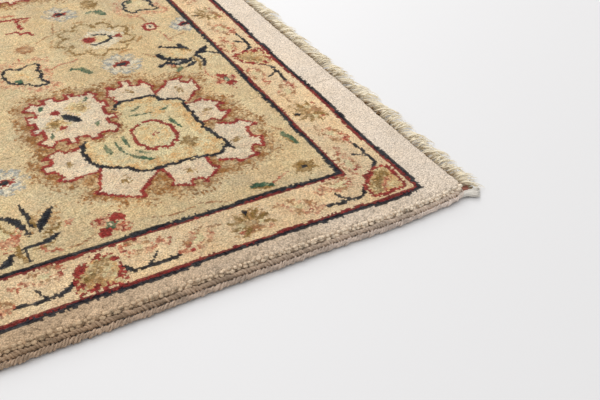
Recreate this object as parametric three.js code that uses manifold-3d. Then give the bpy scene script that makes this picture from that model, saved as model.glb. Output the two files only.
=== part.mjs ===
// A hand-knotted wool rug lying flat on the floor, in millimetres.
// X runs along the rug's length, Y across it, Z is up. The origin is under the middle of the rug.
import * as THREE from 'three';
import Module from 'manifold-3d';
import { mergeVertices } from 'three/addons/utils/BufferGeometryUtils.js';

const wasm = await Module();
wasm.setup();

// Driving dimensions
const KNOT = 2.5;                      // pitch of the knots along and across the rug
const PILE_LENGTH = 736 * KNOT;
const PILE_WIDTH = 456 * KNOT;
const PILE_THICKNESS = 14.5;           // foundation and pile together
const RIM_HEIGHT = 7.5;                // where the upright edge turns over into the rounded shoulder
const EDGE_BAND = 10;                  // width of the rounded shoulder, and the radius of a corner in plan
const SHOULDER_STEPS = [0, 1.5, 4.5, EDGE_BAND];
const CELL = 62;                       // largest spacing of the pile's sections inside the shoulders
const GAP = 0.3;                       // left between touching pieces

const HALF_LENGTH = PILE_LENGTH / 2;
const HALF_WIDTH = PILE_WIDTH / 2;

// The overcast cord along each long side, seen end on: distance out from the pile and height
const SELVEDGE_WIDTH = 9;
const SELVEDGE_HEIGHT = 8.2;
const SELVEDGE_END = 8;                // it stops this far short of the pile's end
const SELVEDGE_SECTION = [
  { out: 0.00, up: 0.00 },
  { out: 0.90, up: 0.00 },
  { out: 1.00, up: 0.30 },
  { out: 0.97, up: 0.66 },
  { out: 0.78, up: 0.93 },
  { out: 0.55, up: 0.92 },
  { out: 0.30, up: 1.00 },
  { out: 0.00, up: 0.82 },
];

// The flat-woven strip at each end, and the warp ends knotted into locks that leave it
const STRIP_WIDTH = 5;
const STRIP_HEIGHT = 2.8;
const LOCKS = 148;                     // on each end
const LOCK_REACH = 27;                 // past the pile's end, on average
const LOCK_ROOT = 2.5;                 // how far a lock starts inside the strip
const LOCK_SECTIONS = [
  { along: 0.00, width: 4.4, height: 2.2 },
  { along: 0.45, width: 5.2, height: 3.8 },
  { along: 1.00, width: 2.2, height: 1.4 },
];

// The tab at each corner, where the overcast cord runs out past the pile and flattens:
// distance past the pile's end, its inner and outer edge beyond the pile's side, and its height
const TAB_SECTIONS = [
  { past: -SELVEDGE_END + GAP, inner: GAP, outer: 9.0, height: 7.6 },
  { past: 1.5, inner: GAP, outer: 9.6, height: 6.2 },
  { past: 2.5, inner: -13.0, outer: 9.8, height: 5.0 },
  { past: 9.0, inner: -10.0, outer: 9.0, height: 3.8 },
  { past: 15.5, inner: -3.0, outer: 7.6, height: 3.2 },
  { past: 19.0, inner: 1.5, outer: 5.5, height: 1.6 },
];

// Finishes
const WOOL = new THREE.MeshStandardMaterial({ color: 0xcdb38a, roughness: 0.95, metalness: 0 });
const OVERCAST_WOOL = new THREE.MeshStandardMaterial({ color: 0x9c8a76, roughness: 0.9, metalness: 0 });
const COTTON = new THREE.MeshStandardMaterial({ color: 0xe6dcc0, roughness: 0.9, metalness: 0 });

// How far the rug's hand-made edges wander out of straight
function sideWander(x) {
  return 1.0 * Math.sin(x / 173 + 0.4) + 0.6 * Math.sin(x / 67 + 2.1);
}

function endWander(y) {
  return 0.9 * Math.sin(y / 141 + 1.3) + 0.5 * Math.sin(y / 59 + 0.2);
}

// The front edge (towards -Y) and the right-hand end (towards +X) of the pile;
// the other two edges are these turned half round
function frontEdge(x) {
  return -HALF_WIDTH - sideWander(x);
}

function rightEnd(y) {
  return HALF_LENGTH + endWander(y);
}

// Moves a point of the straight-edged rug to where the wandering edges put it
function wandered(x, y) {
  const right = Math.max(0, x / HALF_LENGTH) ** 2;
  const left = Math.max(0, -x / HALF_LENGTH) ** 2;
  const back = Math.max(0, y / HALF_WIDTH) ** 2;
  const front = Math.max(0, -y / HALF_WIDTH) ** 2;
  return [
    x + right * endWander(y) - left * endWander(-y),
    y + back * sideWander(-x) - front * sideWander(x),
  ];
}

// Places across a half length: even cells in the middle, then the steps of the shoulder
function stations(half) {
  const inner = half - EDGE_BAND;
  const cells = 2 * Math.ceil(inner / CELL) - 1;
  const middle = Array.from({ length: cells + 1 }, (_, i) => -inner + (2 * inner * i) / cells);
  const shoulder = SHOULDER_STEPS.slice(0, -1);
  return [...shoulder.map((step) => -half + step), ...middle, ...shoulder.map((step) => half - step).reverse()];
}

// The pile's top stands at its full thickness, a little uneven, and rolls down over the shoulder.
// depth is the distance in from the edge.
function pileHeight(x, y, depth) {
  const uneven = 0.35 * Math.sin(x / 97 + y / 130) * Math.sin(x / 61 - y / 83 + 1);
  const roll = THREE.MathUtils.clamp(depth / EDGE_BAND, 0, 1);
  const shoulder = Math.sqrt(1 - (1 - roll) ** 2);
  return RIM_HEIGHT + (PILE_THICKNESS - RIM_HEIGHT) * shoulder + uneven * roll;
}

// Turns the square corner of the plan into a quarter circle, and gives the depth inside the edge
function roundedCorner(x, y) {
  const left = (Math.abs(x) - HALF_LENGTH + EDGE_BAND) / EDGE_BAND;
  const up = (Math.abs(y) - HALF_WIDTH + EDGE_BAND) / EDGE_BAND;
  if (left <= 0 || up <= 0) {
    return { x, y, depth: EDGE_BAND * (1 - Math.max(left, up)) };
  }
  const p = left * Math.sqrt(1 - (up * up) / 2);
  const q = up * Math.sqrt(1 - (left * left) / 2);
  return {
    x: Math.sign(x) * (HALF_LENGTH - EDGE_BAND * (1 - p)),
    y: Math.sign(y) * (HALF_WIDTH - EDGE_BAND * (1 - q)),
    depth: EDGE_BAND * (1 - Math.hypot(p, q)),
  };
}

function indexedGeometry(points, faces) {
  const geometry = new THREE.BufferGeometry();
  geometry.setAttribute('position', new THREE.Float32BufferAttribute(points.flat(), 3));
  geometry.setIndex(faces.flat());
  geometry.computeVertexNormals();
  return geometry;
}

// The pile carpet: one slab with a grid on top, the same grid flat underneath, and upright edges
function pileCarpet() {
  const xs = stations(HALF_LENGTH);
  const ys = stations(HALF_WIDTH);
  const columns = xs.length;
  const rows = ys.length;
  const points = [];
  for (const top of [true, false]) {
    for (const y of ys) {
      for (const x of xs) {
        const corner = roundedCorner(x, y);
        const [px, py] = wandered(corner.x, corner.y);
        points.push([px, py, top ? pileHeight(px, py, corner.depth) : 0]);
      }
    }
  }
  const at = (i, j, below = 0) => below * rows * columns + j * columns + i;
  const faces = [];
  for (let j = 0; j < rows - 1; j += 1) {
    for (let i = 0; i < columns - 1; i += 1) {
      faces.push([at(i, j), at(i + 1, j), at(i + 1, j + 1)], [at(i, j), at(i + 1, j + 1), at(i, j + 1)]);
      faces.push([at(i, j, 1), at(i + 1, j + 1, 1), at(i + 1, j, 1)]);
      faces.push([at(i, j, 1), at(i, j + 1, 1), at(i + 1, j + 1, 1)]);
    }
  }
  const rim = [];
  for (let i = 0; i < columns - 1; i += 1) rim.push([i, 0]);
  for (let j = 0; j < rows - 1; j += 1) rim.push([columns - 1, j]);
  for (let i = columns - 1; i > 0; i -= 1) rim.push([i, rows - 1]);
  for (let j = rows - 1; j > 0; j -= 1) rim.push([0, j]);
  rim.forEach(([i, j], k) => {
    const [ni, nj] = rim[(k + 1) % rim.length];
    faces.push([at(i, j, 1), at(ni, nj, 1), at(ni, nj)], [at(i, j, 1), at(ni, nj), at(i, j)]);
  });
  return indexedGeometry(points, faces);
}

// A closed solid through a row of rings, each with the same number of points, turning
// anticlockwise when seen from the far end
function lofted(rings) {
  const size = rings[0].length;
  const last = (rings.length - 1) * size;
  const faces = [];
  for (let r = 0; r < rings.length - 1; r += 1) {
    for (let k = 0; k < size; k += 1) {
      const a = r * size + k;
      const b = r * size + ((k + 1) % size);
      faces.push([a, b, b + size], [a, b + size, a + size]);
    }
  }
  for (let k = 1; k < size - 1; k += 1) {
    faces.push([0, k + 1, k], [last, last + k, last + k + 1]);
  }
  return indexedGeometry(rings.flat(), faces);
}

// The overcast cord along the front edge, following the pile's own sections
function selvedge() {
  const ends = [-HALF_LENGTH + SELVEDGE_END, HALF_LENGTH - SELVEDGE_END];
  const between = stations(HALF_LENGTH).filter((x) => x > ends[0] + EDGE_BAND && x < ends[1] - EDGE_BAND);
  const rings = [ends[0], ...between, ends[1]].map((x) => {
    const lump = 1 + 0.03 * Math.sin(x / 37) * Math.sin(x / 211 + 1);
    return SELVEDGE_SECTION.map(({ out, up }) => [
      x,
      frontEdge(x) - GAP - out * SELVEDGE_WIDTH * lump,
      up * SELVEDGE_HEIGHT * lump,
    ]);
  });
  return lofted(rings.reverse());
}

// A bar of four sides, flat on the floor and narrower on top, between two edges of one section
function barRing(x, yLow, yHigh, height) {
  const inset = 0.2 * (yHigh - yLow);
  return [[x, yLow, 0], [x, yHigh, 0], [x, yHigh - inset, height], [x, yLow + inset, height]];
}

function lock(index) {
  const spread = (PILE_WIDTH - 2 * EDGE_BAND) / LOCKS;
  const y = -HALF_WIDTH + EDGE_BAND + spread * (index + 0.5);
  const root = rightEnd(y) + GAP + STRIP_WIDTH - LOCK_ROOT;
  const reach = LOCK_REACH + 2.4 * Math.sin(index * 2.399) + 1.6 * Math.sin(index * 0.83 + 1);
  const lean = 3.6 * Math.sin(index * 0.31 + 0.7) + 1.5 * Math.sin(index * 1.1);
  const run = rightEnd(y) + reach - root;
  const thick = 1 + 0.12 * Math.sin(index * 1.7 + 2);
  return lofted(LOCK_SECTIONS.map(({ along, width, height }) => {
    const middle = y + lean * along * along;
    return barRing(root + along * run, middle - width / 2, middle + width / 2, height * thick);
  }));
}

// The flat-woven strip under the locks, along the right-hand end
function strip() {
  const inner = stations(HALF_WIDTH).filter((y) => Math.abs(y) <= HALF_WIDTH - EDGE_BAND);
  const rings = inner.map((y) => {
    const start = rightEnd(y) + GAP;
    return [
      [start, y, 0],
      [start, y, STRIP_HEIGHT],
      [start + STRIP_WIDTH - 1, y, STRIP_HEIGHT],
      [start + STRIP_WIDTH, y, 0],
    ];
  });
  return lofted(rings);
}

// The tab at the front corner of the right-hand end; side is 1 there and -1 at the back corner
function tab(side) {
  const rings = TAB_SECTIONS.map(({ past, inner, outer, height }) => {
    const x = HALF_LENGTH + past;
    const edge = side > 0 ? frontEdge(x) : -frontEdge(-x);
    const ys = [edge - side * inner, edge - side * outer].sort((a, b) => a - b);
    return barRing(x, ys[0], ys[1], height);
  });
  return lofted(rings);
}

function solidOf(geometry) {
  const bare = geometry.clone();
  bare.deleteAttribute('normal');
  const merged = mergeVertices(bare);
  return new wasm.Manifold(new wasm.Mesh({
    numProp: 3,
    vertProperties: merged.attributes.position.array,
    triVerts: merged.index.array,
  }));
}

function geometryOf(solid) {
  const mesh = solid.getMesh();
  const geometry = new THREE.BufferGeometry();
  geometry.setAttribute('position', new THREE.BufferAttribute(mesh.vertProperties, 3));
  geometry.setIndex(new THREE.BufferAttribute(mesh.triVerts, 1));
  geometry.computeVertexNormals();
  return geometry;
}

// One end's strip, locks and two corner tabs, fused into one solid
function fringe() {
  let solid = solidOf(strip());
  for (let index = 0; index < LOCKS; index += 1) {
    solid = solid.add(solidOf(lock(index)));
  }
  for (const side of [1, -1]) {
    solid = solid.add(solidOf(tab(side)));
  }
  return geometryOf(solid);
}

function piece(name, geometry, material, turned = false) {
  const mesh = new THREE.Mesh(geometry, material);
  mesh.name = name;
  mesh.rotation.z = turned ? Math.PI : 0;
  return mesh;
}

const rug = new THREE.Group();
const cord = selvedge();
const warpEnds = fringe();
rug.add(
  piece('pile_carpet', pileCarpet(), WOOL),
  piece('selvedge_front', cord, OVERCAST_WOOL),
  piece('selvedge_back', cord, OVERCAST_WOOL, true),
  piece('fringe_right', warpEnds, COTTON),
  piece('fringe_left', warpEnds, COTTON, true),
);

export default rug;
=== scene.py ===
# A hand-knotted chobi rug on a pale floor: pile, overcast sides, cotton fringe and woven back
import math
from collections import namedtuple

import bpy
import numpy as np
from mathutils import Matrix, Vector


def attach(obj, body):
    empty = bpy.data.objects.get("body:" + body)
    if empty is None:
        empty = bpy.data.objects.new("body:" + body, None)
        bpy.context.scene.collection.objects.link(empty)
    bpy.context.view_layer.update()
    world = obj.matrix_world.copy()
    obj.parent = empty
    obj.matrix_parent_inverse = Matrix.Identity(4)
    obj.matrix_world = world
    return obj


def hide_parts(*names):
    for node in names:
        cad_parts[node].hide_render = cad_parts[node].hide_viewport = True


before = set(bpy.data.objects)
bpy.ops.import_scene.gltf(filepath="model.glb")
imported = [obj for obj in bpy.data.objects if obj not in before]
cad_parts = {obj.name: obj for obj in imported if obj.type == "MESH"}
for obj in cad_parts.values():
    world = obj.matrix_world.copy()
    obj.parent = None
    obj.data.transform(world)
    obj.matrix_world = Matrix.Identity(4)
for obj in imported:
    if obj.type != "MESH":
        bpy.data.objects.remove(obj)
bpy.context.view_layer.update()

MM = 0.001
METRE = 1000                          # in millimetres
SEED = 11

# Sizes in millimetres, the same as in the rug's solids
KNOT = 2.5
COLUMNS = 736
ROWS = 456
HALF_LENGTH = COLUMNS * KNOT / 2
HALF_WIDTH = ROWS * KNOT / 2
PILE_THICKNESS = 14.5
RIM_HEIGHT = 7.5
EDGE_BAND = 10
GAP = 0.3
LOCK_REACH = 27

# Knots counted in from the edge of the pile: the plain band, then the border's stripes
PLAIN_AT_ENDS = 18.6
PLAIN_AT_SIDES = 7.6
STRIPES = [("navy", 2.1), ("crimson", 1.7), ("ground", 22.4), ("crimson", 1.6), ("navy", 2.2)]
STRIPE_RAGGED = 0.18
GUARD = 2                             # from the plain band to the middle of the outer two stripes, the guard

# The border in millimetres: where its guard runs, from the rug's middle, and how its flowers lie along that
GUARD_X = HALF_LENGTH - KNOT * (PLAIN_AT_ENDS + GUARD)
GUARD_Y = HALF_WIDTH - KNOT * (PLAIN_AT_SIDES + GUARD)
BORDER_MARGIN = 32.5                  # from the guard to the middle of a corner's flower
BORDER_PITCH = 167.5                  # from one flower or rosette of the border to the next
PITCHES_ALONG = 10
PITCHES_ACROSS = 6

# Heights in the pile, from the woven foundation up
FOUNDATION = 3.0
PILE_FLOOR = 3.1
SKIRT_HEIGHTS = [5.3, PILE_FLOOR]
SKIRT = len(SKIRT_HEIGHTS)            # rows of points down the pile's upright edge

# Dyes of the wool: the colour, as red, green and blue from 0 to 255; how much one knot differs from
# the next; and the dye that shows through it in patches, with its share
Dye = namedtuple("Dye", "colour spread through share")
DYES = {
    "plain": Dye((231, 214, 194), 0.040, "plain", 0.0),
    "field": Dye((207, 180, 138), 0.070, "pale", 0.20),
    "ground": Dye((227, 199, 157), 0.070, "pink", 0.06),
    "navy": Dye((12, 14, 25), 0.300, "bluegrey", 0.04),
    "red": Dye((138, 38, 36), 0.240, "pink", 0.12),
    "crimson": Dye((116, 30, 31), 0.260, "pink", 0.08),
    "blush": Dye((186, 122, 92), 0.120, "ground", 0.34),
    "pink": Dye((170, 92, 66), 0.150, "ground", 0.22),
    "gold": Dye((170, 127, 78), 0.140, "field", 0.34),
    "halo": Dye((146, 98, 50), 0.160, "field", 0.34),
    "olive": Dye((134, 102, 50), 0.160, "field", 0.16),
    "brown": Dye((156, 108, 70), 0.140, "field", 0.20),
    "green": Dye((54, 88, 64), 0.220, "pale", 0.14),
    "bluegrey": Dye((156, 157, 150), 0.140, "field", 0.24),
    "mist": Dye((216, 205, 180), 0.080, "field", 0.30),
    "cream": Dye((222, 202, 170), 0.070, "pink", 0.07),
    "peach": Dye((208, 166, 112), 0.110, "pale", 0.45),
    "pale": Dye((214, 197, 152), 0.080, "field", 0.22),
}
DYE_NUMBER = {name: number for number, name in enumerate(DYES)}

# Painted shade: the plain wool is darker and browner towards the middle of the sides. Its colour there, as
# shares of the dye, and how far in from the ends that is
MID_SIDE_SHADE = (0.66, 0.55, 0.43)
MID_SIDE = 460

# Drawn freehand, no line comes out quite straight: how far it strays, and in lumps how wide. The border's
# long stripes only sway, and all else trembles too
SWAY = 1.5
SWAY_LUMP = 43
TREMBLE = 1.1
TREMBLE_LUMP = 11

NOISE_REACH = 2 * max(HALF_LENGTH, HALF_WIDTH) + 200  # the side of the square that the noise covers


def linear(colour):
    """A colour of 0 to 255 by eye as the light it stands for."""
    share = np.asarray(colour, float) / 255
    return np.where(share <= 0.04045, share / 12.92, ((share + 0.055) / 1.055) ** 2.4)


def side_painted_shade(x):
    """The painted shade that the plain wool's colour is multiplied by along the sides, darker towards their
    middle.
    """
    share = ((HALF_LENGTH - np.abs(x)) / MID_SIDE).clip(0, 1)[..., None] ** 0.9
    return 1 - share * (1 - np.array(MID_SIDE_SHADE))


def lattice_noise(x, y, cell, seed):
    """Smooth noise from -1 to 1 over plan positions, with lumps about `cell` millimetres wide."""
    draw = np.random.default_rng(seed)
    count = int(NOISE_REACH / cell) + 3
    lattice = draw.uniform(-1, 1, (count, count))
    across = (x + NOISE_REACH / 2) / cell
    up = (y + NOISE_REACH / 2) / cell
    i = np.floor(across).astype(int) % (count - 1)
    j = np.floor(up).astype(int) % (count - 1)
    p = across - np.floor(across)
    q = up - np.floor(up)
    p = p * p * (3 - 2 * p)
    q = q * q * (3 - 2 * q)
    low = lattice[j, i] * (1 - p) + lattice[j, i + 1] * p
    high = lattice[j + 1, i] * (1 - p) + lattice[j + 1, i + 1] * p
    return low * (1 - q) + high * q


# The chart: which dye each knot has

class Chart:
    """The knots of the pile. x runs along the rug and y across it, from the rug's middle."""

    def __init__(self):
        along = (np.arange(COLUMNS) + 0.5) * KNOT - HALF_LENGTH
        across = (np.arange(ROWS) + 0.5) * KNOT - HALF_WIDTH
        x, y = np.meshgrid(along, across)
        self.stripe_x = x + SWAY * lattice_noise(x, y, SWAY_LUMP, SEED + 1)
        self.stripe_y = y + SWAY * lattice_noise(x, y, SWAY_LUMP, SEED + 3)
        self.x = self.stripe_x + TREMBLE * lattice_noise(x, y, TREMBLE_LUMP, SEED)
        self.y = self.stripe_y + TREMBLE * lattice_noise(x, y, TREMBLE_LUMP, SEED + 2)
        self.grain = np.random.default_rng(SEED).uniform(-1, 1, x.shape)
        self.dye = np.full(x.shape, DYE_NUMBER["field"])


def block_around(points, margin):
    """The block of knots around some plan points, as slices of rows and columns."""
    low = points.min(0) - margin - 2 * KNOT
    high = points.max(0) + margin + 2 * KNOT
    first = np.floor((low + (HALF_LENGTH, HALF_WIDTH)) / KNOT).astype(int)
    last = np.ceil((high + (HALF_LENGTH, HALF_WIDTH)) / KNOT).astype(int)
    columns = slice(max(0, first[0]), max(0, last[0]))
    rows = slice(max(0, first[1]), max(0, last[1]))
    return rows, columns


class Pen:
    """Draws on the chart in a motif's own millimetres, from the motif's own middle."""

    def __init__(self, chart, x=0, y=0, turn=0, size=1.0, mirrored=False, frame_of=None):
        angle = math.radians(turn)
        own = np.array([[math.cos(angle), -math.sin(angle)], [math.sin(angle), math.cos(angle)]])
        if mirrored:
            own = own @ np.diag([-1, 1])
        own = own * size
        self.chart = chart
        if frame_of is None:
            self.origin = np.array([x, y], float)
            self.axes = own
        else:
            self.origin = frame_of.origin + frame_of.axes @ (x, y)
            self.axes = frame_of.axes @ own
        self.size = math.sqrt(abs(np.linalg.det(self.axes)))

    def at(self, x, y, turn=0, size=1.0, mirrored=False):
        """A pen for a part of the motif."""
        return Pen(self.chart, x, y, turn, size, mirrored, frame_of=self)

    def knots(self, points, margin=0):
        """The knots near an outline, and their places in the motif's own millimetres."""
        plan = self.origin + np.asarray(points, float) @ self.axes.T
        block = block_around(plan, margin * self.size)
        places = np.stack([self.chart.x[block], self.chart.y[block]], axis=-1) - self.origin
        places = places @ np.linalg.inv(self.axes).T
        return block, places[..., 0], places[..., 1]

    def fill(self, outline, dye, ragged=0.0):
        block, a, b = self.knots(outline, ragged)
        grain = self.chart.grain[block] * ragged
        inside = np.zeros(a.shape, bool)
        ring = np.asarray(outline, float)
        for (ax, ay), (bx, by) in zip(ring, np.roll(ring, -1, axis=0)):
            if ay != by:
                crosses = (ay > b + grain) != (by > b + grain)
                inside ^= crosses & (a + grain < ax + (b + grain - ay) * (bx - ax) / (by - ay))
        self.chart.dye[block][inside] = DYE_NUMBER[dye]

    def line(self, points, width, dye, closed=False, ragged=0.0):
        block, a, b = self.knots(points, width / 2 + ragged)
        path = np.asarray(points, float)
        ends = np.roll(path, -1, axis=0) if closed else path[1:]
        nearest = np.full(a.shape, 1e9)
        for (ax, ay), (bx, by) in zip(path, ends):
            run = max((bx - ax) ** 2 + (by - ay) ** 2, 1e-9)
            share = np.clip(((a - ax) * (bx - ax) + (b - ay) * (by - ay)) / run, 0, 1)
            away = np.hypot(a - ax - share * (bx - ax), b - ay - share * (by - ay))
            nearest = np.minimum(nearest, away)
        drawn = nearest + ragged * self.chart.grain[block] < width / 2
        self.chart.dye[block][drawn] = DYE_NUMBER[dye]

    def spot(self, x, y, radius, dye, squash=1.0, ragged=0.0):
        self.fill(ellipse(radius, radius * squash, at=(x, y)), dye, ragged)

    def ring(self, x, y, radius, width, dye):
        self.line(ellipse(radius, radius, at=(x, y)), width, dye, closed=True)

    def leaf(self, start, end, width, dye, bend=0.0):
        """A stroke that swells in the middle and ends in two points."""
        start = np.asarray(start, float)
        run = np.asarray(end, float) - start
        side = np.array([-run[1], run[0]]) / np.hypot(*run)
        shares = np.linspace(0, 1, 9)[:, None]
        middle = start + run * shares + side * bend * np.sin(math.pi * shares)
        half = side * width / 2 * np.sin(math.pi * shares) ** 0.7
        self.fill(np.concatenate([middle + half, (middle - half)[::-1]]), dye)


# Outlines for motifs

def ellipse(across, up, at=(0, 0), steps=20):
    turns = np.linspace(0, 2 * math.pi, steps, endpoint=False)
    return np.stack([at[0] + across * np.cos(turns), at[1] + up * np.sin(turns)], axis=-1)


def serrated(outline, tooth, depth):
    """An anticlockwise outline with teeth standing out of it."""
    path = np.asarray(outline, float)
    result = []
    for start, end in zip(path, np.roll(path, -1, axis=0)):
        run = end - start
        length = max(np.hypot(*run), 1e-9)
        out = np.array([run[1], -run[0]]) / length
        teeth = max(1, round(length / tooth))
        for number in range(teeth):
            result.append(start + run * number / teeth)
            result.append(start + run * (number + 0.5) / teeth + out * depth)
    return np.array(result)


STEP_AWRY = 0.22                      # how far a step's sides stray, as a share of its width
STEP_DEPTHS = (0.55, 1.35)            # how deep the steps are, as shares of the depth asked for
STEP_OUT = 0.02                       # how far a step stands out of line


def stepped(turns, depth, squareness, seed):
    """An outline of square steps, in and out by turns, round a superellipse of half size 1."""
    draw = np.random.default_rng(seed)
    size = len(turns) - 1
    awry = np.concatenate([[0], draw.uniform(-STEP_AWRY, STEP_AWRY, size - 1), [0]]) * np.diff(turns).mean()
    turns = turns + awry
    drawn_in = np.where(np.arange(size) % 2 == 0, depth, 0) * draw.uniform(*STEP_DEPTHS, size)
    starts = np.repeat(turns, 2)[1:-1]
    reach = np.repeat(1 - drawn_in + draw.uniform(-STEP_OUT, STEP_OUT, size), 2)
    along, up = np.cos(starts), np.sin(starts)
    reach = reach * (np.abs(along) ** squareness + np.abs(up) ** squareness) ** (-1 / squareness)
    return np.stack([reach * along, reach * up], axis=-1)


def square_blossom(across, up, points, depth):
    """A squarish flower seen face on, with stepped petals all round; its corners stand out."""
    first = math.pi / 4 - math.pi / points / 2
    turns = first + np.linspace(0, 2 * math.pi, 2 * points + 1)
    outline = stepped(turns - math.pi / points, depth, 6, int(across + 3 * up))
    return outline * (across, up)


def petalled(count, inner, outer):
    """A rosette's outline with round petals."""
    turns = np.linspace(0, 2 * math.pi, 8 * count, endpoint=False)
    reach = inner + (outer - inner) * np.abs(np.cos(count * turns / 2)) ** 0.6
    return np.stack([reach * np.cos(turns), reach * np.sin(turns)], axis=-1)


def lobe(length, width, teeth):
    """An open lobe that stands on its root at the origin and points along +x, with steps round its end."""
    turns = np.linspace(-math.pi / 2, math.pi / 2, 2 * teeth + 2)
    return stepped(turns, 0.2, 3.2, int(5 * length + width)) * (length, width / 2)


# Motifs of the field

BLOSSOM = (51, 58)                    # the half sizes of the square blossom over a palmette
BLOSSOM_POINTS = 12
BLOSSOM_DEPTH = 0.17                  # how deep its steps are, as a share of its size
HEART = [
    (-10, 76), (-70, 20), (-84, -8), (-82, -38), (-70, -56), (-48, -66), (-34, -82),
    (30, -80), (58, -86), (76, -70), (63, -24), (63, 56), (40, 60), (34, 75),
]
# The palmette's lobes: where each one's root lies, the way it points, its length and width, and its steps
Lobe = namedtuple("Lobe", "root turn length width teeth")
LOBES = [
    Lobe((12, 76), 90, 52, 64, 3),
    Lobe((56, 60), 46, 58, 58, 2),
    Lobe((64, 10), 2, 48, 66, 2),
    Lobe((68, -60), -22, 56, 96, 3),
    Lobe((14, -82), -88, 50, 70, 2),
    Lobe((-46, -68), -118, 56, 82, 1),
    Lobe((-82, -30), 182, 54, 68, 3),
]


def blossom(pen, across, up):
    """A square stepped flower, cream in a red edge, with a navy eye."""
    outline = square_blossom(across, up, BLOSSOM_POINTS, BLOSSOM_DEPTH)
    pen.fill(outline, "cream")
    pen.line(outline, 4.3, "red", closed=True, ragged=0.5)
    pen.spot(14, 20, 17, "peach", 0.9, ragged=6)
    pen.spot(-20, -10, 16, "peach", 0.9, ragged=6)
    pen.spot(-22, -8, 9, "olive", ragged=6)
    pen.spot(20, 22, 7, "olive", ragged=5)
    pen.leaf((-10, 12), (9, -13), 15, "navy")
    pen.spot(-16, 20, 6.0, "red", ragged=1)
    pen.spot(-15, -19, 4.6, "red", ragged=1)
    for x, y in [(-30, 36), (30, 38), (26, -26), (-32, -32)]:
        pen.leaf((x - 3, y - 7), (x + 3, y + 7), 5, "green")


def palmette(pen):
    """The large palmette: a square blossom over a navy heart with seven stepped lobes round it."""
    heart = serrated(HEART, 16, 2.2)
    lobes = [
        (pen.at(*row.root, row.turn), lobe(row.length, row.width, row.teeth), row.length) for row in LOBES
    ]
    upper = pen.at(-77, 66)
    pen.fill(HEART, "gold")
    pen.line(HEART, 92, "gold", closed=True, ragged=9)
    for part, outline, length in lobes:
        part.line(outline, 30, "halo", ragged=11)
    upper.line(square_blossom(*BLOSSOM, BLOSSOM_POINTS, BLOSSOM_DEPTH), 30, "halo", closed=True, ragged=9)
    for part, outline, length in lobes:
        part.fill(np.concatenate([outline, [(-12, 0)]]), "cream")
        part.line(outline, 4.2, "red", ragged=0.5)
        part.spot(length * 0.42, 0, 5.5, "olive", ragged=4)
    pen.fill(heart, "peach")
    pen.fill(np.asarray(HEART) * 0.80 + (-2, 2), "pale", ragged=3)
    pen.line(heart, 5.6, "navy", closed=True, ragged=0.5)
    pen.spot(76, -74, 6, "navy", ragged=3)
    pen.leaf((70, -70), (84, -86), 5, "navy")
    pen.spot(30, -60, 17, "peach", ragged=8)
    pen.spot(28, 42, 14, "peach", ragged=7)
    heart_bud(pen)
    for start, end, width in [
        ((-57, -8), (-56, -34), 6.5), ((-44, -4), (-42, -40), 4.2), ((-34, 2), (-31, -34), 4.6),
        ((-42, -40), (-14, -66), 5.5), ((-28, -36), (-12, -52), 3.6), ((-12, 40), (24, 38), 4.2),
        ((-8, 50), (12, 58), 5.2), ((24, 34), (46, 44), 3.6), ((34, 22), (42, -20), 4.8),
    ]:
        pen.leaf(start, end, width, "green", bend=-2)
    pen.fill(petalled(4, 5.4, 12) + (36, -46), "olive", ragged=1.5)
    upper.fill(square_blossom(60, 67, BLOSSOM_POINTS, 0.12), "halo", ragged=5)
    blossom(upper, *BLOSSOM)


def heart_bud(pen):
    """The stepped bud in the palmette's heart, open at one side."""
    middle = (4, -14)
    outline = stepped(np.radians(np.linspace(95, -245, 16)), 0.08, 2.2, SEED) * (27, 34) + middle
    pen.fill(outline, "pale")
    pen.fill(ellipse(18, 24, middle), "peach", ragged=5)
    pen.line(outline, 4.8, "red")
    pen.spot(6, -14, 4, "red", ragged=3)


def leaf_wreath(pen):
    """A ring of olive leaves round a red bud in a navy crescent."""
    for leaf_number in range(9):
        turn = 360 * leaf_number / 9 + 20
        part = pen.at(0, 0, turn)
        part.line([(38, -14), (52, -11), (58, 4), (50, 12)], 5.0, "olive", ragged=2.4)
        part.line([(60, -16), (66, 2)], 4.0, "gold", ragged=2.4)
        part.leaf((36, 8), (46, 20), 5, "olive", bend=-2)
    pen.spot(8, -3, 30, "mist", 1.0, ragged=8)
    crescent = [(0, 14), (12, 12), (22, 2), (20, -8), (8, -16), (-8, -20), (-12, -14)]
    pen.line(crescent, 9, "mist", ragged=4)
    pen.spot(5, -3, 15, "pale", 0.8)
    pen.line(crescent, 4.4, "navy", ragged=0.8)
    pen.spot(-10, -1, 12, "pink", 0.9, ragged=2)
    pen.spot(-10, -1, 10, "red", 0.9, ragged=1.5)
    pen.fill([(24, -3), (38, 5), (38, -9)], "red", ragged=1)


def rosette(pen):
    """A round flower whose petals are drawn in outline, with a long eye."""
    radius = 24
    outline = petalled(8, radius * 0.58, radius * 1.04)
    pen.fill(outline, "mist", ragged=2)
    pen.line(outline, 3.8, "bluegrey", closed=True, ragged=2.4)
    for turn in range(20, 380, 72):
        pen.at(0, 0, turn).leaf((radius * 0.3, 0), (radius * 0.8, 4), 3.6, "bluegrey")
    pen.spot(0, 0, radius * 0.46, "red", 0.62, ragged=2.6)
    pen.leaf((-radius * 0.34, -1), (radius * 0.36, 1), radius * 0.30, "navy")


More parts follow.
